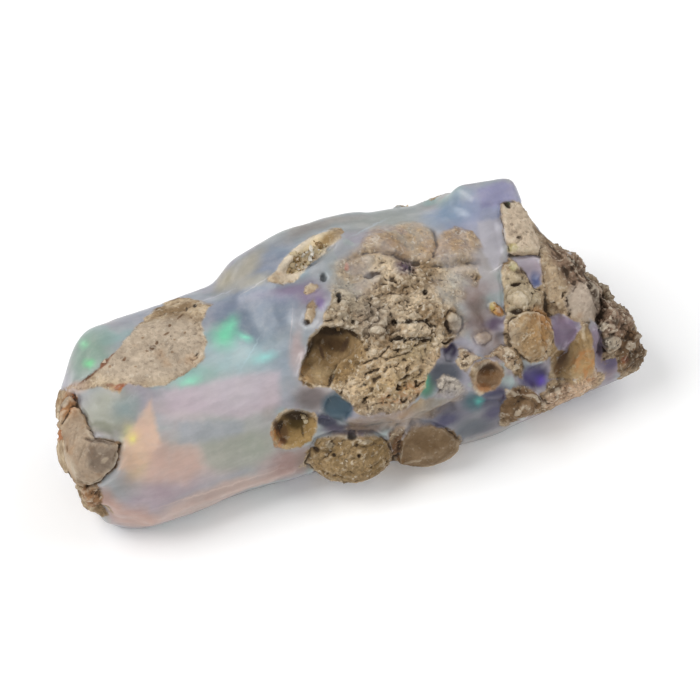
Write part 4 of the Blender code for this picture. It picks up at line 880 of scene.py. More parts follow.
# Grooves and, with a height above zero, ridges along a run of marks: (width, height, marks), in mm.
LINES = {
    "under_ledge": (0.30, -0.40, ((-2.4, -4.9), (0.4, -5.4), (3.4, -5.1), (7.0, -3.9))),
    "triangle_ridge": (0.16, 0.30, ((11.1, -2.9), (12.4, -3.1), (13.5, -3.9))),
    "fan_ridge": (0.16, 0.22, ((16.0, 1.4), (16.2, 0.2), (16.9, -1.8))),
    "fan_left": (0.18, 0.22, ((15.9, 1.6), (15.1, 0.5), (14.2, -0.5), (13.7, -1.4))),
    "fan_heart": (0.35, -0.35, ((15.5, 0.2), (15.0, -0.9), (14.6, -1.8))),
    "crust_seam": (0.10, -0.25, (
        (13.53, 7.83), (14.35, 7.14), (15.25, 6.39), (15.93, 5.77), (16.55, 5.15), (17.17, 4.53),
        (17.58, 3.71), (17.72, 2.95),
    )),
    "crust_gap": (0.16, -0.45, ((17.4, 3.9), (17.5, 2.8), (17.1, 1.9), (17.4, 0.8), (17.4, -0.3))),
    "crust_crack": (0.12, -0.35, ((15.8, 5.6), (16.9, 4.9), (17.9, 3.6), (18.3, 2.2))),
    "mass_crack_low": (0.10, -0.25, ((0.4, -1.0), (1.8, -0.6), (2.6, 0.2))),
    "lump_groove": (0.28, -0.40, ((0.9, 6.6), (2.1, 6.7), (3.3, 6.4), (4.4, 6.0))),
    "lump_low_groove": (0.26, -0.30, ((5.0, 5.7), (6.9, 5.8), (8.8, 6.1))),
    "lump_parting": (0.20, -0.25, ((5.7, 8.3), (5.9, 7.2), (5.5, 6.2))),
    "hollow_lip": (0.20, 0.30, ((1.1, 0.6), (0.3, -0.3), (-0.5, -1.1), (-1.0, -1.7), (-1.3, -2.4))),
    "hollow_rim": (0.16, 0.22, (
        (-3.6, -1.7), (-3.2, -0.2), (-2.7, 0.9), (-1.9, 1.7), (-0.6, 1.8), (0.6, 1.4),
    )),
    "hollow_shade": (0.24, -0.45, (
        (-3.0, -1.5), (-2.6, -0.2), (-2.2, 0.5), (-1.6, 1.1), (-0.6, 1.2), (0.3, 0.9),
    )),
    "slab_edge": (0.14, 0.14, ((10.8, 9.8), (10.8, 8.3), (10.9, 7.0), (12.6, 6.9))),
    "lens_foot": (0.14, 0.14, ((3.6, -6.2), (3.4, -7.0), (3.6, -7.7), (4.8, -7.5))),
    "block_edge": (0.20, 0.12, ((-12.8, -11.2), (-8.0, -9.6), (-4.0, -8.2))),
    "knob_rim": (0.13, -0.34, (
        (-15.21, -6.21), (-15.29, -7.14), (-15.52, -7.83), (-16.14, -8.54), (-16.96, -9.01), (-17.79, -9.27),
        (-18.75, -9.04), (-19.3, -8.45),
    )),
    "cap_fold": (0.16, -0.16, ((-17.45, -5.98), (-16.83, -5.91), (-16.14, -6.11), (-15.38, -6.21))),
    "fold_outer": (0.16, -0.45, (
        (-19.67, -4.3), (-19.23, -3.54), (-18.75, -2.91), (-18.31, -3.18), (-18.17, -3.64),
    )),
    "fold_inner": (0.1, -0.24, ((-19.23, -4.97), (-18.89, -4.42), (-18.64, -3.91), (-18.39, -3.57))),
    "fold_ridge": (0.12, 0.2, ((-19.41, -4.6), (-19.02, -3.98), (-18.68, -3.37), (-18.45, -3.43))),
    "fold_low": (0.12, -0.34, ((-19.96, -4.81), (-19.57, -5.22), (-19.22, -5.38), (-19.33, -5.91))),
    "crack_upper": (0.12, -0.22, ((3.8, 2.0), (4.8, 1.9), (5.7, 1.65))),
    "crack_middle": (0.12, -0.22, ((3.3, 0.7), (4.5, 0.75), (5.4, 0.6))),
    "hollow_fold": (0.13, -0.35, ((-0.96, -1.24), (-1.24, -1.79), (-1.37, -2.47))),
    "orange_arc": (0.14, 0.26, ((11.4, 2.34), (12.29, 2.61), (13.05, 2.37), (13.6, 1.72), (13.98, 0.89))),
    "slab_foot": (0.12, -0.24, ((10.85, 6.52), (11.95, 6.35), (13.05, 6.52))),
}


def linear(hex_colour):
    """A colour written as #RRGGBB, as linear red, green, blue and alpha."""
    parts = [int(hex_colour[at:at + 2], 16) / 255 for at in (1, 3, 5)]
    return (*[p / 12.92 if p <= 0.04045 else ((p + 0.055) / 1.055) ** 2.4 for p in parts], 1.0)


def named(name):
    """One of the finishes' colours, as linear red, green, blue and alpha."""
    return linear(COLOURS[name])


# ---------------------------------------------------------------- places on the stone


def side_axes(side="front"):
    """Across, up and out, as seen by someone who looks squarely at this side."""
    turn, tilt = (math.radians(angle) for angle in SIDES[side])
    across = Vector((math.cos(turn), math.sin(turn), 0))
    level_out = Vector((math.sin(turn), -math.cos(turn), 0))
    out = math.cos(tilt) * level_out + math.sin(tilt) * Vector((0, 0, 1))
    return across, out.cross(across), out


class Stone:
    """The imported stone's surface, to place marks on."""

    def __init__(self, node):
        vertices = [vertex.co / MM for vertex in node.data.vertices]
        faces = [polygon.vertices[:] for polygon in node.data.polygons]
        self.tree = BVHTree.FromPolygons(vertices, faces)

    def frame(self, across_mm, up_mm, half_length, half_width, turn, side="front"):
        """A patch's middle, turned axes and half sizes. A patch that misses the stone lies inside it."""
        across, up, out = side_axes(side)
        mark = MARKS_FROM + across_mm * across + up_mm * up
        hit = self.tree.ray_cast(mark + MARKS_REACH * out, -out)[0]
        cos, sin = math.cos(math.radians(turn)), math.sin(math.radians(turn))
        axes = Matrix((cos * across + sin * up, cos * up - sin * across, out))
        return mark if hit is None else hit, axes, Vector((half_length, half_width, PATCH_DEPTH))

    def nearness(self, points, patch):
        """How near each point is to the middle of a patch: 1 there, 0 on its edge, below 0 outside."""
        middle, axes, halves = self.frame(*patch)
        local = (points - np.array(middle)) @ np.array(axes).T / np.array(halves)
        return 1 - np.linalg.norm(local, axis=1)

    def within(self, points, patches):
        """How far inside the nearest of these patches each point lies, in mm, below 0 outside."""
        inside = np.full(len(points), -FAR)
        for patch in patches.values():
            inside = np.maximum(inside, self.nearness(points, patch) * narrowness(patch))
        return inside


def narrowness(patch):
    """The smaller half size of a patch, in mm."""
    return min(patch[2:4])


def front_marks(points):
    """The marks at which points are seen from the front."""
    across, up, _ = side_axes()
    return (points - np.array(MARKS_FROM)) @ np.array((across, up)).T


def run_distance(at, start, end):
    """How far marks are from the straight run between two marks, in mm."""
    run = end - start
    along = np.clip(((at - start) @ run) / (run @ run), 0, 1)
    return np.linalg.norm(at - start - along[:, None] * run, axis=1)


def line_distance(points, marks):
    """How far each point is from a run of marks, as seen from the front, in mm."""
    flat, marks = front_marks(points), np.array(marks)
    return np.min([run_distance(flat, start, end) for start, end in zip(marks[:-1], marks[1:])], axis=0)


def within_outline(points, facing, marks):
    """How far inside an outline each point lies, in mm, below 0 outside it or round the back."""
    flat = front_marks(points)
    marks = np.array(marks)
    near = np.all((flat > marks.min(0) - OUTLINE_REACH) & (flat < marks.max(0) + OUTLINE_REACH), axis=1)
    near &= facing > -0.5
    at = flat[near]
    distance, crossings = np.full(len(at), FAR), np.zeros(len(at), int)
    for start, end in zip(marks, np.roll(marks, -1, axis=0)):
        run = end - start
        distance = np.minimum(distance, run_distance(at, start, end))
        spans = (start[1] > at[:, 1]) != (end[1] > at[:, 1])
        if run[1]:
            crossings += spans & (at[:, 0] < start[0] + run[0] * (at[:, 1] - start[1]) / run[1])
    inside = np.full(len(points), -FAR)
    inside[near] = np.where(crossings % 2, distance, -distance)
    return np.minimum(inside, FACING_REACH * (facing + 0.25))


# ---------------------------------------------------------------- noise on points


def chance(cells, seed):
    """A number from 0 to 1 for each cell of a grid, the same in every run."""
    x, y, z = (cells[:, axis].astype(np.int64) * CELL_FACTORS[axis] for axis in range(3))
    mixed = x ^ y ^ z ^ (seed * SEED_FACTOR)
    mixed = (mixed ^ (mixed >> 13)) & KEPT_BITS
    mixed = (mixed * MIX_FACTOR) & KEPT_BITS
    mixed = (mixed ^ (mixed >> 16)) & KEPT_BITS
    return mixed / KEPT_BITS


def smooth_noise(points, size, seed):
    """Noise from -1 to 1 with swells of this size."""
    scaled = points / size
    base = np.floor(scaled).astype(np.int64)
    part = scaled - base
    part = part * part * (3 - 2 * part)
    total = np.zeros(len(points))
    for corner in np.ndindex(2, 2, 2):
        weight = np.prod(np.where(corner, part, 1 - part), axis=1)
        total += weight * chance(base + np.array(corner), seed)
    return 2 * total - 1


def layered_noise(points, size, seed, layers=4):
    """Noise with ever smaller swells on it."""
    total, height = np.zeros(len(points)), 1.0
    for layer in range(layers):
        total += height * smooth_noise(points + 17.3 * layer, size / 2 ** layer, seed + layer)
        height /= 2
    return total


def pebbles(points, size, seed):
    """How near each point is to the middle of its pebble, from 1 to 0, and the pebble's own chance."""
    scaled = points / size
    base = np.floor(scaled).astype(np.int64)
    nearest, owner = np.full(len(points), FAR), np.zeros(len(points))
    for offset in np.ndindex(3, 3, 3):
        cell = base + np.array(offset) - 1
        middle = cell + np.stack([chance(cell, seed + axis) for axis in range(3)], axis=1)
        distance = np.linalg.norm(scaled - middle, axis=1)
        closer = distance < nearest
        nearest = np.where(closer, distance, nearest)
        owner = np.where(closer, chance(cell, seed + 5), owner)
    return np.clip(1 - nearest, 0, 1), owner


def pushed_about(points, amount, size, seeds):
    """Points moved by noise, so that what follows them has ragged edges."""
    return points + amount * np.stack([layered_noise(points, size, seed, 3) for seed in seeds], axis=1)


def ramp(values, low, high):
    """0 below low, 1 above high, and a smooth rise between them."""
    part = np.clip((values - low) / (high - low), 0, 1)
    return part * part * (3 - 2 * part)


# ---------------------------------------------------------------- meshes


def read(mesh, field):
    """The coordinates or normals of a mesh's vertices."""
    values = np.empty(len(mesh.vertices) * 3, np.float32)
    mesh.vertices.foreach_get(field, values)
    return values.reshape(-1, 3).astype(float)


def settle(obj):
    """Applies an object's modifiers."""
    graph = bpy.context.evaluated_depsgraph_get()
    mesh = bpy.data.meshes.new_from_object(obj.evaluated_get(graph))
    obj.modifiers.clear()
    obj.data = mesh


def smoothed_places(obj, rounds):
    """Where the vertices would lie after this many rounds of smoothing."""
    copy = obj.copy()
    bpy.context.scene.collection.objects.link(copy)
    smooth = copy.modifiers.new("smooth", "SMOOTH")
    smooth.iterations = rounds
    graph = bpy.context.evaluated_depsgraph_get()
    places = read(copy.evaluated_get(graph).data, "co")
    bpy.data.objects.remove(copy)
    return places


def move_to(obj, places):
    """Moves the vertices of an object's mesh."""
    obj.data.vertices.foreach_set("co", places.astype(np.float32).ravel())
    obj.data.update()


def mark_points(mesh, name, values):
    """Keeps a number at each vertex, for the materials to read."""
    attribute = mesh.attributes.get(name) or mesh.attributes.new(name, "FLOAT", "POINT")
    attribute.data.foreach_set("value", np.asarray(values, np.float32))


# ---------------------------------------------------------------- materials


class Wire:
    """What comes out of a node. Sums on it add Math nodes."""

    def __init__(self, nodes, socket):
        self.nodes, self.socket = nodes, socket

    def math(self, operation, *others):
        return self.nodes.value(operation, self, *others)

    def __add__(self, other): return self.math("ADD", other)
    __radd__ = __add__
    def __sub__(self, other): return self.math("SUBTRACT", other)
    def __rsub__(self, other): return self.nodes.value("SUBTRACT", other, self)
    def __mul__(self, other): return self.math("MULTIPLY", other)
    __rmul__ = __mul__
    def __neg__(self): return self.math("MULTIPLY", -1)

    def power(self, exponent):
        return self.math("POWER", exponent)

    def least(self, other):
        return self.math("MINIMUM", other)

    def ramp(self, low, high, start=0.0, end=1.0):
        """A smooth rise from start to end, while this goes from low to high."""
        inputs = {"Value": self, "From Min": low, "From Max": high, "To Min": start, "To Max": end}
        settings = {"interpolation_type": "SMOOTHSTEP"}
        return self.nodes.node("ShaderNodeMapRange", settings, inputs)


class Nodes:
    """A node tree under construction."""

    def __init__(self, tree):
        self.tree = tree

    def node(self, kind, settings=None, inputs=None, output=0):
        """Adds a node: its settings first, then its sockets' values or wires. Returns an output's wire."""
        made = self.tree.nodes.new(kind)
        for name, value in (settings or {}).items():
            setattr(made, name, value)
        for name, value in (inputs or {}).items():
            if isinstance(value, Wire):
                self.tree.links.new(value.socket, made.inputs[name])
            else:
                made.inputs[name].default_value = value
        return made if output is None else Wire(self, made.outputs[output])

    def value(self, operation, *values):
        return self.node("ShaderNodeMath", {"operation": operation}, dict(enumerate(values)))


class Finish(Nodes):
    """A material under construction."""

    def __init__(self, name):
        self.material = bpy.data.materials.new(name)
        self.material.use_nodes = True
        super().__init__(self.material.node_tree)
        self.tree.nodes.clear()
        coordinates = self.node("ShaderNodeTexCoord", output="Object")
        self.place = self.vector("SCALE", coordinates, scale=1 / MM)

    def vector(self, operation, first, second=None, scale=None, output=0):
        inputs = {0: first}
        if second is not None:
            inputs[1] = second
        if scale is not None:
            inputs["Scale"] = scale
        return self.node("ShaderNodeVectorMath", {"operation": operation}, inputs, output)

    def attribute(self, name):
        return self.node("ShaderNodeAttribute", {"attribute_name": name}, output="Fac")

    def noise(self, place, size, detail=3.0, roughness=0.55, output="Fac"):
        """Noise from 0 to 1 with swells of this size in mm."""
        inputs = {"Vector": place, "Scale": 1 / size, "Detail": detail, "Roughness": roughness}
        return self.node("ShaderNodeTexNoise", None, inputs, output)

    def cells(self, place, size, feature="F1", output="Distance"):
        """How far it is to the middle, or to the edge, of cells of this size in mm."""
        settings = {"feature": feature}
        return self.node("ShaderNodeTexVoronoi", settings, {"Vector": place, "Scale": 1 / size}, output)

    def cell_chances(self, place, size):
        """A number from 0 to 1 for each cell of this size in mm."""
        colours = self.cells(place, size, output="Color")
        return self.node("ShaderNodeSeparateColor", None, {0: colours})

    def mix(self, factor, first, second):
        """Colours mixed by a factor from 0 to 1."""
        return self.node("ShaderNodeMix", {"data_type": "RGBA"}, {0: factor, 6: first, 7: second}, output=2)

    def warped(self, size, amount):
        """The place in mm, pushed about, so that what follows it has ragged edges."""
        push = self.vector("SUBTRACT", self.noise(self.place, size, output="Color"), (0.5, 0.5, 0.5))
        return self.vector("ADD", self.place, self.vector("SCALE", push, scale=amount))

    def point(self, place):
        """The same place, in the kind of wire that a patch reads."""
        return self.node("ShaderNodeMapping", {"vector_type": "POINT"}, {"Vector": place})

    def patch(self, point, stone, patch, softness, strength=1.0):
        """As much as its strength inside a patch, 0 outside, with a soft edge."""
        middle, axes, halves = stone.frame(*patch)
        turn = axes.transposed().to_euler()
        reach = 1 + softness / 2
        settings = {"vector_type": "TEXTURE"}
        inputs = {"Vector": point, "Location": middle, "Rotation": turn, "Scale": halves * reach}
        local = self.node("ShaderNodeMapping", settings, inputs)
        round_middle = {"gradient_type": "SPHERICAL"}
        nearness = self.node("ShaderNodeTexGradient", round_middle, {"Vector": local}, "Fac")
        return nearness.ramp(0, 1 - (1 - softness) / reach, 0, strength)

    def patched(self, colour, point, stone, patches, strength):
        """A colour with patches over it: each a place on the stone, its softness and its colour."""
        for *patch, softness, tint in patches:
            colour = self.mix(self.patch(point, stone, patch, softness, strength), colour, linear(tint))
        return colour

    def facet(self, place, marks, edge):
        """1 inside a convex run of marks on the front side, 0 outside, with an edge to each side in mm."""
        across, up, _ = side_axes()
        inside = None
        for start, end in zip(marks, (*marks[1:], marks[0])):
            run = (Vector(end) - Vector(start)).normalized()
            inward = -run.y * across + run.x * up
            depth = self.vector("DOT_PRODUCT", place, inward, output="Value")
            depth = depth - (inward.dot(MARKS_FROM) - run.y * start[0] + run.x * start[1])
            inside = depth if inside is None else inside.least(depth)
        return inside.ramp(-edge, edge)

    def bump(self, height, strength, distance_mm, normal=None):
        inputs = {"Height": height, "Strength": strength, "Distance": distance_mm * MM}
        if normal is not None:
            inputs["Normal"] = normal
        return self.node("ShaderNodeBump", None, inputs)

    def shader(self, **inputs):
        """A Principled BSDF. An input's name is written with underscores."""
        named = {name.replace("_", " "): value for name, value in inputs.items()}
        return self.node("ShaderNodeBsdfPrincipled", None, named)

    def done(self, surface):
        self.node("ShaderNodeOutputMaterial", None, {"Surface": surface}, output=None)
        return self.material


def opal_shader(finish, stone, settings):
    """Milky opal: soft patches of colour that seem to lie under a glossy skin, and a few bright flashes with
    a painted glow.
    """
    place = finish.point(finish.warped(1.6, 1.1))
    fine_place = finish.warped(0.5, 0.35)
    fine_point = finish.point(fine_place)
    hue = finish.cell_chances(finish.warped(3.0, 2.4), 4.2)
    body = finish.mix(hue.ramp(0.1, 0.9), named("opal_lilac"), named("opal_grey"))
    body = finish.mix(finish.noise(finish.place, 5.0).ramp(0.45, 0.7), body, named("opal_rose"))
    body = finish.mix(finish.noise(finish.place, 3.1, 2).ramp(0.58, 0.72) * 0.6, body, named("opal_teal"))
    body = finish.patched(body, place, stone, FIRE.values(), FIRE_STRENGTH)
    front = finish.attribute("front")
    for edge, tint, marks in FACETS.values():
        body = finish.mix(finish.facet(fine_place, marks, edge) * front * FACET_STRENGTH, body, linear(tint))
    milk = finish.noise(finish.place, 1.1, 6, 0.65).ramp(0.40, 0.70)
    body = finish.mix(milk * 0.16, body, named("opal_milk"))
    body = finish.patched(body, fine_point, stone, DEPTHS.values(), DEPTH_STRENGTH)
    # The flashes' painted glow, given off as emission.
    glow = BLACK
    for *patch, softness, tint in FLASHES.values():
        near = finish.patch(fine_point, stone, patch, softness)
        body = finish.mix(near * FLASH_STRENGTH, body, linear(tint))
        glow = finish.mix(near * near, glow, linear(tint))
    layers = finish.vector("MULTIPLY", fine_place, (0.35, 1.0, 1.6))
    cloud = finish.noise(layers, 0.8, 5, 0.6).ramp(0.3, 0.7, 0.90, 1.06)
    body = finish.vector("SCALE", body, scale=cloud)
    scratches = finish.cells(finish.warped(0.9, 0.5), 2.6, "DISTANCE_TO_EDGE").ramp(0.012, 0.0)
    scratches = scratches * finish.noise(finish.place, 2.2).ramp(0.55, 0.7)
    body = finish.mix(scratches * 0.16, body, named("opal_scratch"))
    ripples = finish.noise(finish.place, 0.9, 3, 0.5)
    normal = finish.bump(ripples, 0.30, 0.08)
    gloss = finish.noise(finish.place, 0.8, 4).ramp(0.3, 0.8, 0.30, 0.50)
    return finish.shader(
        Base_Color=body, Roughness=gloss, IOR=1.45, Normal=normal,
        Subsurface_Weight=settings.milkiness, Subsurface_Radius=(1.0, 0.9, 0.85),
        Subsurface_Scale=settings.glow_depth * MM, Transmission_Weight=settings.clearness,
        Coat_Weight=0.14, Coat_Roughness=0.16,
        Emission_Color=glow, Emission_Strength=settings.flash_strength,
    )


def host_colour(finish, stone, settings, specks=()):
    """The colour of host rock before its grain: tan, with each form's tint and small marks, some of them
    painted shade and one a painted highlight.
    """
    place = finish.point(finish.warped(0.9, 0.5))
    broad = finish.noise(finish.place, 1.5, 5, 0.6)
    colour = finish.mix(broad.ramp(0.35, 0.65), settings.dark_colour, settings.pale_colour)
    colour = finish.patched(colour, place, stone, HOST_TINTS.values(), TINT_STRENGTH)
    ragged = finish.point(finish.warped(0.16, 0.16))
    marks = [(*patch, SPECK_SOFTNESS, tint) for *patch, tint in specks]
    colour = finish.patched(colour, ragged, stone, marks, SPECK_STRENGTH)
    return finish.vector("SCALE", colour, scale=broad.ramp(0.3, 0.7, 0.86, 1.08))


def rock_shader(finish, stone, settings):
    """Porous, sandy host rock: pale grains in tan, darker in its pits from dirt and painted shade, stained
    here and there, with painted shade in its hollows and a painted highlight on its crests.
    """
    rough = finish.attribute("rough")
    colour = host_colour(finish, stone, settings, SPECKS.values())
    shade = finish.cell_chances(finish.warped(0.3, 0.15), 0.20)
    spread = rough.least(1.0) * 0.22 + 0.05
    colour = finish.vector("SCALE", colour, scale=(shade - 0.5) * spread * 2 + 0.98)
    speckle = finish.noise(finish.place, 0.26, 4).ramp(0.58, 0.70) * rough.ramp(0.0, 1.0, 0.1, 0.75)
    colour = finish.mix(speckle, colour, named("rock_speckle"))
    pale = finish.noise(finish.warped(0.4, 0.2), 0.36, 3).ramp(0.58, 0.66) * rough.ramp(0.0, 1.0, 0.1, 0.55)
    colour = finish.mix(pale, colour, named("rock_pale_grain"))
    rust = finish.attribute("rust") * finish.noise(finish.place, 0.5, 4).ramp(0.42, 0.66)
    colour = finish.mix(rust * 0.55, colour, settings.rust_colour)
    stain = finish.noise(finish.place, 2.4, 4).ramp(0.58, 0.74) * 0.3
    colour = finish.mix(stain, colour, named("rock_stain"))
    # Painted shade in hollows, and darker rock along the crust's seams.
    painted_shade_and_seams = finish.attribute("dark") * finish.noise(finish.place, 0.5, 4).ramp(0.2, 0.7, 0.5, 1.0)
    colour = finish.mix(painted_shade_and_seams * 0.6, colour, named("rock_shade_and_seams"))
    hollow = finish.attribute("hollow")
    # Dirt and painted shade in pits and recesses, laid on by the cavity measure.
    colour = finish.mix(hollow.ramp(0.004, 0.075) * 0.84, colour, named("rock_pit_dirt_and_shade"))
    # A painted highlight on convex crests.
    colour = finish.mix((-hollow).ramp(0.01, 0.10) * 0.38, colour, named("rock_crest_highlight"))
    height = finish.noise(finish.place, 0.20, 5, 0.65) + 0.6 * finish.cells(finish.place, 0.16)
    normal = finish.bump(height * rough.ramp(0.0, 1.0, 0.3, 1.0), 0.8, 0.09)
    return finish.shader(Base_Color=colour, Roughness=0.86, Normal=normal, IOR=1.5, Specular_IOR_Level=0.35)


def stone_finish(stone, opal, rock):
    """Opal and host rock in one finish, parted by the mark "host_rock", with a milky skin on some rock."""
    finish = Finish("opal_and_host_rock")
    border = finish.attribute("host_rock") + (finish.noise(finish.place, 0.7, 5, 0.6) - 0.5) * 0.5
    skin = finish.attribute("veil")
    is_rock = border.ramp(-0.08 - skin * 0.35, 0.12 + skin * 0.35)
    veil = skin * finish.noise(finish.place, 1.0, 4).ramp(0.30, 0.62, 0.25, 1.0)
    factor = is_rock * (1 - veil * 0.45)
    surface = finish.node(
        "ShaderNodeMixShader", None,
        {0: factor, 1: opal_shader(finish, stone, opal), 2: rock_shader(finish, stone, rock)},
    )
    return finish.done(surface)


def sand_finish(stone, rock):
    """Grains of sand in the host rock's colours, each its own shade, a few of them pale and glassy."""
    finish = Finish("sand")
    shade = finish.attribute("shade")
    colour = finish.vector("SCALE", host_colour(finish, stone, rock), scale=shade.ramp(0.0, 0.8, 0.55, 1.15))
    colour = finish.mix(shade.ramp(0.90, 1.0) * 0.5, colour, named("sand_glassy"))
    rough = finish.bump(finish.noise(finish.place, 0.06, 2), 0.3, 0.01)
    gloss = shade.ramp(0.6, 1.0, 0.8, 0.4)
    return finish.done(finish.shader(Base_Color=colour, Roughness=gloss, Normal=rough))


def crystal_finish():
    """Small crystals: honey-coloured to clear, glossy."""
    finish = Finish("crystals")
    shade = finish.attribute("shade")
    colour = finish.mix(shade.ramp(0.1, 0.6), named("crystal_honey"), named("crystal_pale"))
    colour = finish.mix(shade.ramp(0.75, 1.0), colour, named("crystal_clear"))
    return finish.done(finish.shader(Base_Color=colour, Roughness=0.12, IOR=1.54, Transmission_Weight=0.35))


# ---------------------------------------------------------------- what is strewn on the stone


def grain_shape(luck):
    """The corners of a lump of sand with broken faces."""
    corners = [luck.normal(size=3) for _ in range(9)]
    return [0.5 * corner * np.linalg.norm(corner) ** -0.35 * 0.8 for corner in corners]


def crystal_shape(luck):
    """The corners of a short six-sided crystal with a point."""
    turn = luck.uniform(0, math.tau)
    ring = [(math.cos(turn + k * math.tau / 6), math.sin(turn + k * math.tau / 6)) for k in range(6)]
    corners = [(x * 0.6, y * 0.6, z) for z in (-1.0, 0.5) for x, y in ring]
    return [0.5 * np.array(corner) for corner in (*corners, (0.0, 0.0, luck.uniform(0.9, 1.3)))]


def shapes(name, shape, count, seed):
    """A collection of small closed shapes, each about one unit across."""
    group = bpy.data.collections.new(name)
    luck = np.random.default_rng(seed)
    for number in range(count):
        solid = bmesh.new()
        for corner in shape(luck):
            solid.verts.new(corner)
        hull = bmesh.ops.convex_hull(solid, input=solid.verts)
        bmesh.ops.delete(solid, geom=list({*hull["geom_interior"], *hull["geom_unused"]}), context="VERTS")
        bmesh.ops.recalc_face_normals(solid, faces=solid.faces)
        mesh = bpy.data.meshes.new(name)
        solid.to_mesh(mesh)
        solid.free()
        group.objects.link(bpy.data.objects.new(f"{name}_{number}", mesh))
    return group


class Scatter(Nodes):
    """A Geometry Nodes tree that strews shapes on a piece, as many as an attribute says."""

    INPUTS = {
        "Piece": "NodeSocketGeometry", "Shapes": "NodeSocketCollection", "Where": "NodeSocketString",
        "Amount": "NodeSocketFloat", "Smallest": "NodeSocketFloat", "Largest": "NodeSocketFloat",
        "Sink": "NodeSocketFloat", "Seed": "NodeSocketInt", "Finish": "NodeSocketMaterial",
    }

    def __init__(self):
        super().__init__(bpy.data.node_groups.new("strewn", "GeometryNodeTree"))
        for name, kind in self.INPUTS.items():
            self.tree.interface.new_socket(name, in_out="INPUT", socket_type=kind)
        self.tree.interface.new_socket("Strewn", in_out="OUTPUT", socket_type="NodeSocketGeometry")
        entry = self.node("NodeGroupInput", output=None)
        given = {name: Wire(self, entry.outputs[name]) for name in self.INPUTS}
        share = self.node("GeometryNodeInputNamedAttribute", {"data_type": "FLOAT"}, {"Name": given["Where"]})
        spots = self.node(
            "GeometryNodeDistributePointsOnFaces", {"distribute_method": "RANDOM"},
            {"Mesh": given["Piece"], "Density": share * given["Amount"], "Seed": given["Seed"]}, output=None,
        )
        inward = self.node(
            "ShaderNodeVectorMath", {"operation": "SCALE"},
            {0: Wire(self, spots.outputs["Normal"]), "Scale": -given["Sink"]},
        )
        points = self.node(
            "GeometryNodeSetPosition", None,
            {"Geometry": Wire(self, spots.outputs["Points"]), "Offset": inward},
        )
        share_of_size = self.chance(given["Seed"] + 1)
        size = given["Smallest"] + (given["Largest"] - given["Smallest"]) * share_of_size.power(3)
        turn = self.node(
            "FunctionNodeRandomValue", {"data_type": "FLOAT_VECTOR"},
            {0: (0, 0, 0), 1: (math.tau, math.tau, math.tau), "Seed": given["Seed"] + 2},
        )
        kinds = self.node(
            "GeometryNodeCollectionInfo", None,
            {"Collection": given["Shapes"], "Separate Children": True, "Reset Children": True},
        )
        placed = self.node(
            "GeometryNodeInstanceOnPoints", None,
            {"Points": points, "Instance": kinds, "Pick Instance": True, "Rotation": turn, "Scale": size},
        )
        shade = self.chance(given["Seed"] + 3)
        shaded = self.node(
            "GeometryNodeStoreNamedAttribute", {"data_type": "FLOAT", "domain": "INSTANCE"},
            {"Geometry": placed, "Name": "shade", "Value": shade},
        )
        solid = self.node("GeometryNodeRealizeInstances", None, {"Geometry": shaded})
        done = self.node("GeometryNodeSetMaterial", None, {"Geometry": solid, "Material": given["Finish"]})
        self.node("NodeGroupOutput", None, {"Strewn": done}, output=None)

    def chance(self, seed):
        """A number from 0 to 1 for each shape."""
        return self.node("FunctionNodeRandomValue", {"data_type": "FLOAT"}, {"Seed": seed}, output=1)

    def strew(self, name, piece, **values):
        """Makes a new piece of shapes strewn on another one."""
        strewn = bpy.data.objects.new(name, piece.data.copy())
        bpy.context.scene.collection.objects.link(strewn)
        modifier = strewn.modifiers.new("strewn", "NODES")
        modifier.node_group = self.tree
        for item in self.tree.interface.items_tree:
            if item.in_out == "INPUT" and item.name in values:
                modifier[item.identifier] = values[item.name]
        settle(strewn)
        strewn.data.name = name
        for kind in list(values["Shapes"].objects):
            bpy.data.objects.remove(kind)
        bpy.data.collections.remove(values["Shapes"])
        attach(strewn, BODY)


# ---------------------------------------------------------------- settings


class StoneSettings(bpy.types.PropertyGroup):
    grid: FloatProperty(name="Grid", description="Grid that the surface is refined on, in mm", default=0.12)
    triangles: IntProperty(name="Triangles", description="Triangles that the stone keeps", default=190000)
    roughness: FloatProperty(name="Rock relief", description="Height of the host rock's relief", default=1.0)


class OpalSettings(bpy.types.PropertyGroup):
    milkiness: FloatProperty(name="Milkiness", description="Share of light scattered inside", default=0.75)
    glow_depth: FloatProperty(name="Glow depth", description="How deep light scatters, in mm", default=1.4)
    clearness: FloatProperty(name="Clearness", description="Share of light that passes through", default=0.12)
    flash_strength: FloatProperty(name="Flashes", description="How much the flashes glow", default=0.12)


class SandSettings(bpy.types.PropertyGroup):
    amount: FloatProperty(name="Amount", description="Grains on a square mm of rough rock", default=7.0)
    smallest: FloatProperty(name="Smallest", description="Smallest grain, in mm", default=0.12)
    largest: FloatProperty(name="Largest", description="Largest grain, in mm", default=0.36)
    sink: FloatProperty(name="Sink", description="How deep grains sit in the rock, in mm", default=0.05)


class CrystalSettings(bpy.types.PropertyGroup):
    amount: FloatProperty(name="Amount", description="Crystals on a square mm of the pocket", default=15.0)
    smallest: FloatProperty(name="Smallest", description="Smallest crystal, in mm", default=0.18)
    largest: FloatProperty(name="Largest", description="Largest crystal, in mm", default=0.62)


class RockSettings(bpy.types.PropertyGroup):
    pale_colour: FloatVectorProperty(
        name="Pale", description="Pale host rock", subtype="COLOR", size=4, default=named("rock_pale")
    )
    dark_colour: FloatVectorProperty(
        name="Dark", description="Dark host rock", subtype="COLOR", size=4, default=named("rock_dark")
    )
    rust_colour: FloatVectorProperty(
        name="Rust", description="Stains", subtype="COLOR", size=4, default=named("rock_rust")
    )


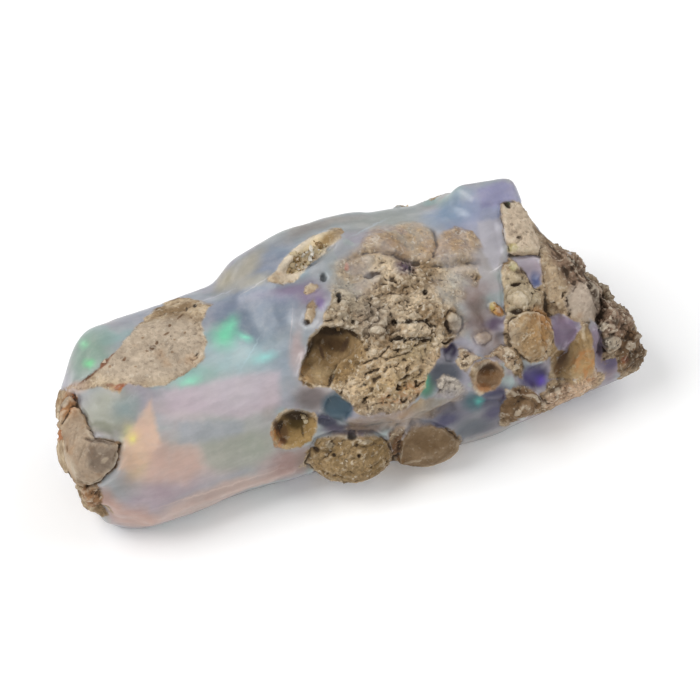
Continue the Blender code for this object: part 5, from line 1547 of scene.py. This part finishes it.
class StageSettings(bpy.types.PropertyGroup):
    distance: FloatProperty(name="Distance", description="Camera to stone", default=0.267, subtype="DISTANCE")
    lens: FloatProperty(name="Lens", description="Focal length in mm", default=200)
    key_power: FloatProperty(
        name="Key light", description="Power of the main light", default=0.60, subtype="POWER"
    )
    fill_power: FloatProperty(
        name="Fill light", description="Power of the light in shadows", default=0.15, subtype="POWER"
    )
    side_power: FloatProperty(
        name="Side light", description="Power of the light on the right end", default=0.27, subtype="POWER"
    )
    floor_glow: FloatProperty(name="Floor glow", description="Light that the floor gives off", default=0.08)
    sky: FloatProperty(name="Sky", description="Strength of the light from all round", default=0.45)


# ---------------------------------------------------------------- operators


def layout(stone, points, normals):
    """What the tables make of each point: how far inside host rock it lies and how far it is raised, in mm,
    and how rough it is."""
    facing = normals @ np.array(side_axes()[2])
    in_front = ramp(facing, *FRONT_FADE)
    ragged = pushed_about(points, 0.10, 0.7, (1, 2, 3))
    inside, swell = np.full(len(points), -FAR), 0.3 * layered_noise(points, 1.3, 71, 4)
    height, roughness = np.zeros(len(points)), np.ones(len(points))
    for *patch, rough in HOST_ROCK_SPOTS.values():
        within = (stone.nearness(ragged, patch) + swell) * narrowness(patch)
        inside = np.maximum(inside, within)
        roughness += (rough - roughness) * ramp(within, *OUTLINE_EDGE)
    for name, (rise, seam, rough) in HOST_ROCK.items():
        within = within_outline(ragged, facing, OUTLINES[name])
        inside = np.maximum(inside, within)
        share = ramp(within, *OUTLINE_EDGE)
        height += rise * share - seam * np.exp(-((within - SEAM_PLACE) / SEAM_WIDTH) ** 2)
        roughness += (rough - roughness) * share
    for name, rise in WINDOWS.items():
        within = within_outline(ragged, facing, OUTLINES[name])
        inside = np.minimum(inside, -within)
        height += rise * ramp(within, *OUTLINE_EDGE)
    for *patch, thickness, rise in RIMS.values():
        off_rim = stone.nearness(points, patch) * narrowness(patch) / thickness
        height += rise * np.exp(-off_rim ** 2) * ramp(facing, *RIM_FADE)
    flat = front_marks(points)
    for across, up, half_length, half_width, turn, rise in LUMPS.values():
        cos, sin = math.cos(math.radians(turn)), math.sin(math.radians(turn))
        away = (flat - (across, up)) @ np.array(((cos, -sin), (sin, cos))) / (half_length, half_width)
        height += rise * np.sqrt(np.clip(1 - np.sum(away ** 2, axis=1), 0, 1)) * in_front
    for width, rise, marks in LINES.values():
        off_line = line_distance(ragged, marks) / width
        height += rise * np.exp(-off_line ** 2) * in_front
    return inside, height, roughness


def rock_relief(points, inside):
    """How far the grain of host rock stands out at each point, in mm."""
    swirled = pushed_about(points, 0.30, 0.8, (4, 5, 6))
    across, up, out = (np.array(axis) for axis in side_axes())
    lie = math.radians(GRAIN_LIE)
    along = math.cos(lie) * across + math.sin(lie) * up
    drawn = swirled - GRAIN_DRAW * (swirled @ along)[:, None] * along
    broad = layered_noise(points, 1.8, 11)
    chips, owner = pebbles(drawn, 0.42, 21)
    grains, grain_owner = pebbles(points, 0.24, 31)
    crests = 1 - 2 * np.abs(layered_noise(drawn, 0.9, 51, 4))
    pitted = ramp(layered_noise(points, 2.0, 66, 2), -0.3, 0.4)
    pits = ramp(layered_noise(drawn, 0.55, 61, 3), 0.62, 1.0) * pitted
    height = BROAD_RELIEF * broad + CHIP_RELIEF * (chips - 0.5) * (0.2 + owner)
    height += GRAIN_RELIEF * (grains - 0.5) * (0.4 + grain_owner)
    height += CREST_RELIEF * crests - PIT_DEPTH * pits
    return height * ramp(inside, -0.1, 0.3)


class OPAL_OT_stone(bpy.types.Operator):
    """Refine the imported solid's surface and give it its finish"""

    bl_idname = "opal.stone"
    bl_label = "Stone"

    def execute(self, context):
        settings = context.scene.opal_stone
        node = frame["nodes"][NODE]
        stone = Stone(node)
        shape = bmesh.new()
        shape.from_mesh(node.data)
        bmesh.ops.remove_doubles(shape, verts=shape.verts, dist=0.001 * MM)
        mesh = bpy.data.meshes.new("opal_stone")
        shape.to_mesh(mesh)
        shape.free()
        piece = bpy.data.objects.new("opal_stone", mesh)
        context.scene.collection.objects.link(piece)
        remesh = piece.modifiers.new("refine", "REMESH")
        remesh.mode = "VOXEL"
        remesh.voxel_size = settings.grid * MM
        settle(piece)
        self.soften(piece, stone)
        self.roughen(piece, stone, settings.roughness)
        triangles = sum(len(polygon.vertices) - 2 for polygon in piece.data.polygons)
        thin = piece.modifiers.new("thin", "DECIMATE")
        thin.ratio = min(1.0, settings.triangles / triangles)
        thin.use_collapse_triangulate = True
        settle(piece)
        self.mark(piece, stone)
        piece.data.polygons.foreach_set("use_smooth", [True] * len(piece.data.polygons))
        piece.data.materials.clear()
        piece.data.materials.append(stone_finish(stone, context.scene.opal_opal, context.scene.opal_rock))
        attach(piece, BODY)
        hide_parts(NODE)
        return {"FINISHED"}

    def soften(self, piece, stone):
        """Rounds the opal's surface off, and the host rock's a little."""
        normals = read(piece.data, "normal")
        rough = smoothed_places(piece, ROCK_ROUNDS)
        once = smoothed_places(piece, OPAL_ROUNDS)
        move_to(piece, once)
        smooth = 2 * once - smoothed_places(piece, OPAL_ROUNDS)
        inside, _, _ = layout(stone, rough / MM, normals)
        share = ramp(inside, -0.6, 0.2)[:, None]
        places = share * rough + (1 - share) * smooth
        across, up, _ = (np.array(axis) for axis in side_axes())
        flat = front_marks(places / MM)
        pushes = np.zeros_like(places)
        for mark_across, mark_up, reach, push_across, push_up in NUDGES.values():
            near = np.exp(-np.sum((flat - (mark_across, mark_up)) ** 2, axis=1) / reach ** 2)
            pushes += near[:, None] * (push_across * across + push_up * up)
        move_to(piece, places + pushes * ramp(places[:, 2:] / MM, 0.3, 2.0) * MM)

    def roughen(self, piece, stone, relief):
        """Gives the host rock its relief, and the opal faint swells."""
        places = read(piece.data, "co")
        normals = read(piece.data, "normal")
        points = places / MM
        inside, height, roughness = layout(stone, points, normals)
        veil = ramp(stone.within(points, VEILED), -0.4, 0.6)
        height += relief * roughness * rock_relief(points, inside) * (1 - 0.75 * veil)
        height += 0.05 * layered_noise(points, 2.6, 91, 3) * ramp(-inside, -0.2, 0.6)
        low, high = (np.array(corner) for corner in CAD_BOX)
        height *= ramp(points[:, 2], *BASE_FADE)
        move_to(piece, np.clip(places + normals * height[:, None] * MM, low, high))

    def mark(self, piece, stone):
        """Keeps what the finish reads at each point."""
        points, normals = read(piece.data, "co") / MM, read(piece.data, "normal")
        smooth = (0.6 * smoothed_places(piece, 8) + 0.4 * smoothed_places(piece, 30)) / MM
        inside, _, roughness = layout(stone, points, normals)
        # How far each point lies below its smoothed surface: the finish lays dirt and painted shade in pits,
        # and a painted highlight on crests, by it.
        hollow = np.sum((smooth - points) * normals, axis=1)
        calm = ramp(stone.within(points, OPEN_HOLLOWS), 0.0, 0.3)
        facing = normals @ np.array(side_axes()[2])
        open_rock = ramp(inside, 0.0, 0.3) * (1 - ramp(stone.within(points, VEILED), -0.4, 0.4))
        marks = {
            "hollow": hollow * (1 - 0.65 * calm),
            "front": ramp(facing, -0.1, 0.2),
            "host_rock": inside,
            "rough": roughness,
            "sand": open_rock * ramp(roughness, 0.3, 1.2) * ramp(points[:, 2], 0.1, 0.6),
            "crystals": ramp(stone.within(points, POCKETS), 0.0, 0.25),
            "veil": ramp(stone.within(points, VEILED), -0.3, 0.6),
            "rust": ramp(stone.within(points, RUSTY), -0.15, 0.3),
            # Where painted shade in hollows and darker seams go.
            "dark": ramp(stone.within(points, SHADE_AND_SEAM_PATCHES), -0.2, 0.5),
        }
        for name, values in marks.items():
            mark_points(piece.data, name, values)


class OPAL_OT_sand(bpy.types.Operator):
    """Strew grains of sand on the host rock"""

    bl_idname = "opal.sand"
    bl_label = "Sand"

    def execute(self, context):
        settings = context.scene.opal_sand
        stone = Stone(frame["nodes"][NODE])
        Scatter().strew(
            "sand", bpy.data.objects["opal_stone"], Where="sand",
            Shapes=shapes("grain", grain_shape, count=6, seed=3), Amount=settings.amount / MM ** 2,
            Smallest=settings.smallest * MM, Largest=settings.largest * MM, Sink=settings.sink * MM,
            Seed=5, Finish=sand_finish(stone, context.scene.opal_rock),
        )
        return {"FINISHED"}


class OPAL_OT_crystals(bpy.types.Operator):
    """Grow small crystals in the long pocket"""

    bl_idname = "opal.crystals"
    bl_label = "Crystals"

    def execute(self, context):
        settings = context.scene.opal_crystals
        Scatter().strew(
            "crystals", bpy.data.objects["opal_stone"], Where="crystals",
            Shapes=shapes("crystal", crystal_shape, count=4, seed=8), Amount=settings.amount / MM ** 2,
            Smallest=settings.smallest * MM, Largest=settings.largest * MM, Sink=0.0,
            Seed=9, Finish=crystal_finish(),
        )
        return {"FINISHED"}


def aimed(name, data, away, out):
    """A lamp or camera that looks at the stone from this many metres out."""
    made = bpy.data.objects.new(name, data)
    made.location = MARKS_FROM * MM + away * out
    made.rotation_euler = (-out).to_track_quat("-Z", "Y").to_euler()
    bpy.context.scene.collection.objects.link(made)
    return made


def area_light(name, away, turn, tilt, size, power):
    """A square light that shines on the stone from a turn and a tilt, in degrees."""
    turn, tilt = math.radians(turn), math.radians(tilt)
    out = Vector((math.sin(turn) * math.cos(tilt), -math.cos(turn) * math.cos(tilt), math.sin(tilt)))
    light = bpy.data.lights.new(name, "AREA")
    light.size = size
    light.energy = power
    aimed(name, light, away, out)


class OPAL_OT_stage(bpy.types.Operator):
    """Make the floor, the lights and the camera"""

    bl_idname = "opal.stage"
    bl_label = "Stage"

    def execute(self, context):
        settings = context.scene.opal_stage
        bpy.ops.mesh.primitive_plane_add(size=FLOOR_SIZE)
        floor = context.object
        floor.name = "floor"
        finish = Finish("floor")
        grain = finish.noise(finish.place, 30.0, 2)
        colour = finish.mix(grain, *((shade, shade, shade, 1) for shade in FLOOR_SHADES))
        lit = finish.shader(
            Base_Color=colour, Roughness=0.9, Emission_Color=WHITE, Emission_Strength=settings.floor_glow,
        )
        floor.data.materials.append(finish.done(lit))
        for name, setting in LIGHTS.items():
            area_light(name, *setting, getattr(settings, f"{name}_power"))
        world = bpy.data.worlds.new("studio")
        world.use_nodes = True
        background = world.node_tree.nodes["Background"].inputs
        background["Color"].default_value = WHITE
        background["Strength"].default_value = settings.sky
        context.scene.world = world
        context.scene.view_settings.view_transform = "Standard"
        camera = bpy.data.cameras.new("camera")
        camera.lens = settings.lens
        camera.clip_start = 0.01
        context.scene.camera = aimed("camera", camera, settings.distance, side_axes()[2])
        return {"FINISHED"}


class OPAL_PT_panel(bpy.types.Panel):
    """Lists the steps that build the opal"""

    bl_label = "Rough Opal"
    bl_idname = "OPAL_PT_panel"
    bl_space_type = "VIEW_3D"
    bl_region_type = "UI"
    bl_category = "Opal"

    def draw(self, context):
        for operator in OPERATORS:
            self.layout.operator(operator.bl_idname)
        for group in SETTINGS:
            settings = getattr(context.scene, group)
            for name in settings.__annotations__:
                self.layout.prop(settings, name)


SETTINGS = {
    "opal_stone": StoneSettings,
    "opal_opal": OpalSettings,
    "opal_rock": RockSettings,
    "opal_sand": SandSettings,
    "opal_crystals": CrystalSettings,
    "opal_stage": StageSettings,
}
OPERATORS = (OPAL_OT_stone, OPAL_OT_sand, OPAL_OT_crystals, OPAL_OT_stage)
CLASSES = (*SETTINGS.values(), *OPERATORS, OPAL_PT_panel)


def register():
    for made in CLASSES:
        bpy.utils.register_class(made)
    for name, group in SETTINGS.items():
        setattr(bpy.types.Scene, name, PointerProperty(type=group))


def unregister():
    for name in SETTINGS:
        delattr(bpy.types.Scene, name)
    for made in reversed(CLASSES):
        bpy.utils.unregister_class(made)


def main():
    register()
    bpy.ops.opal.stone()
    bpy.ops.opal.sand()
    bpy.ops.opal.crystals()
    bpy.ops.opal.stage()


if __name__ == "__main__":
    main()
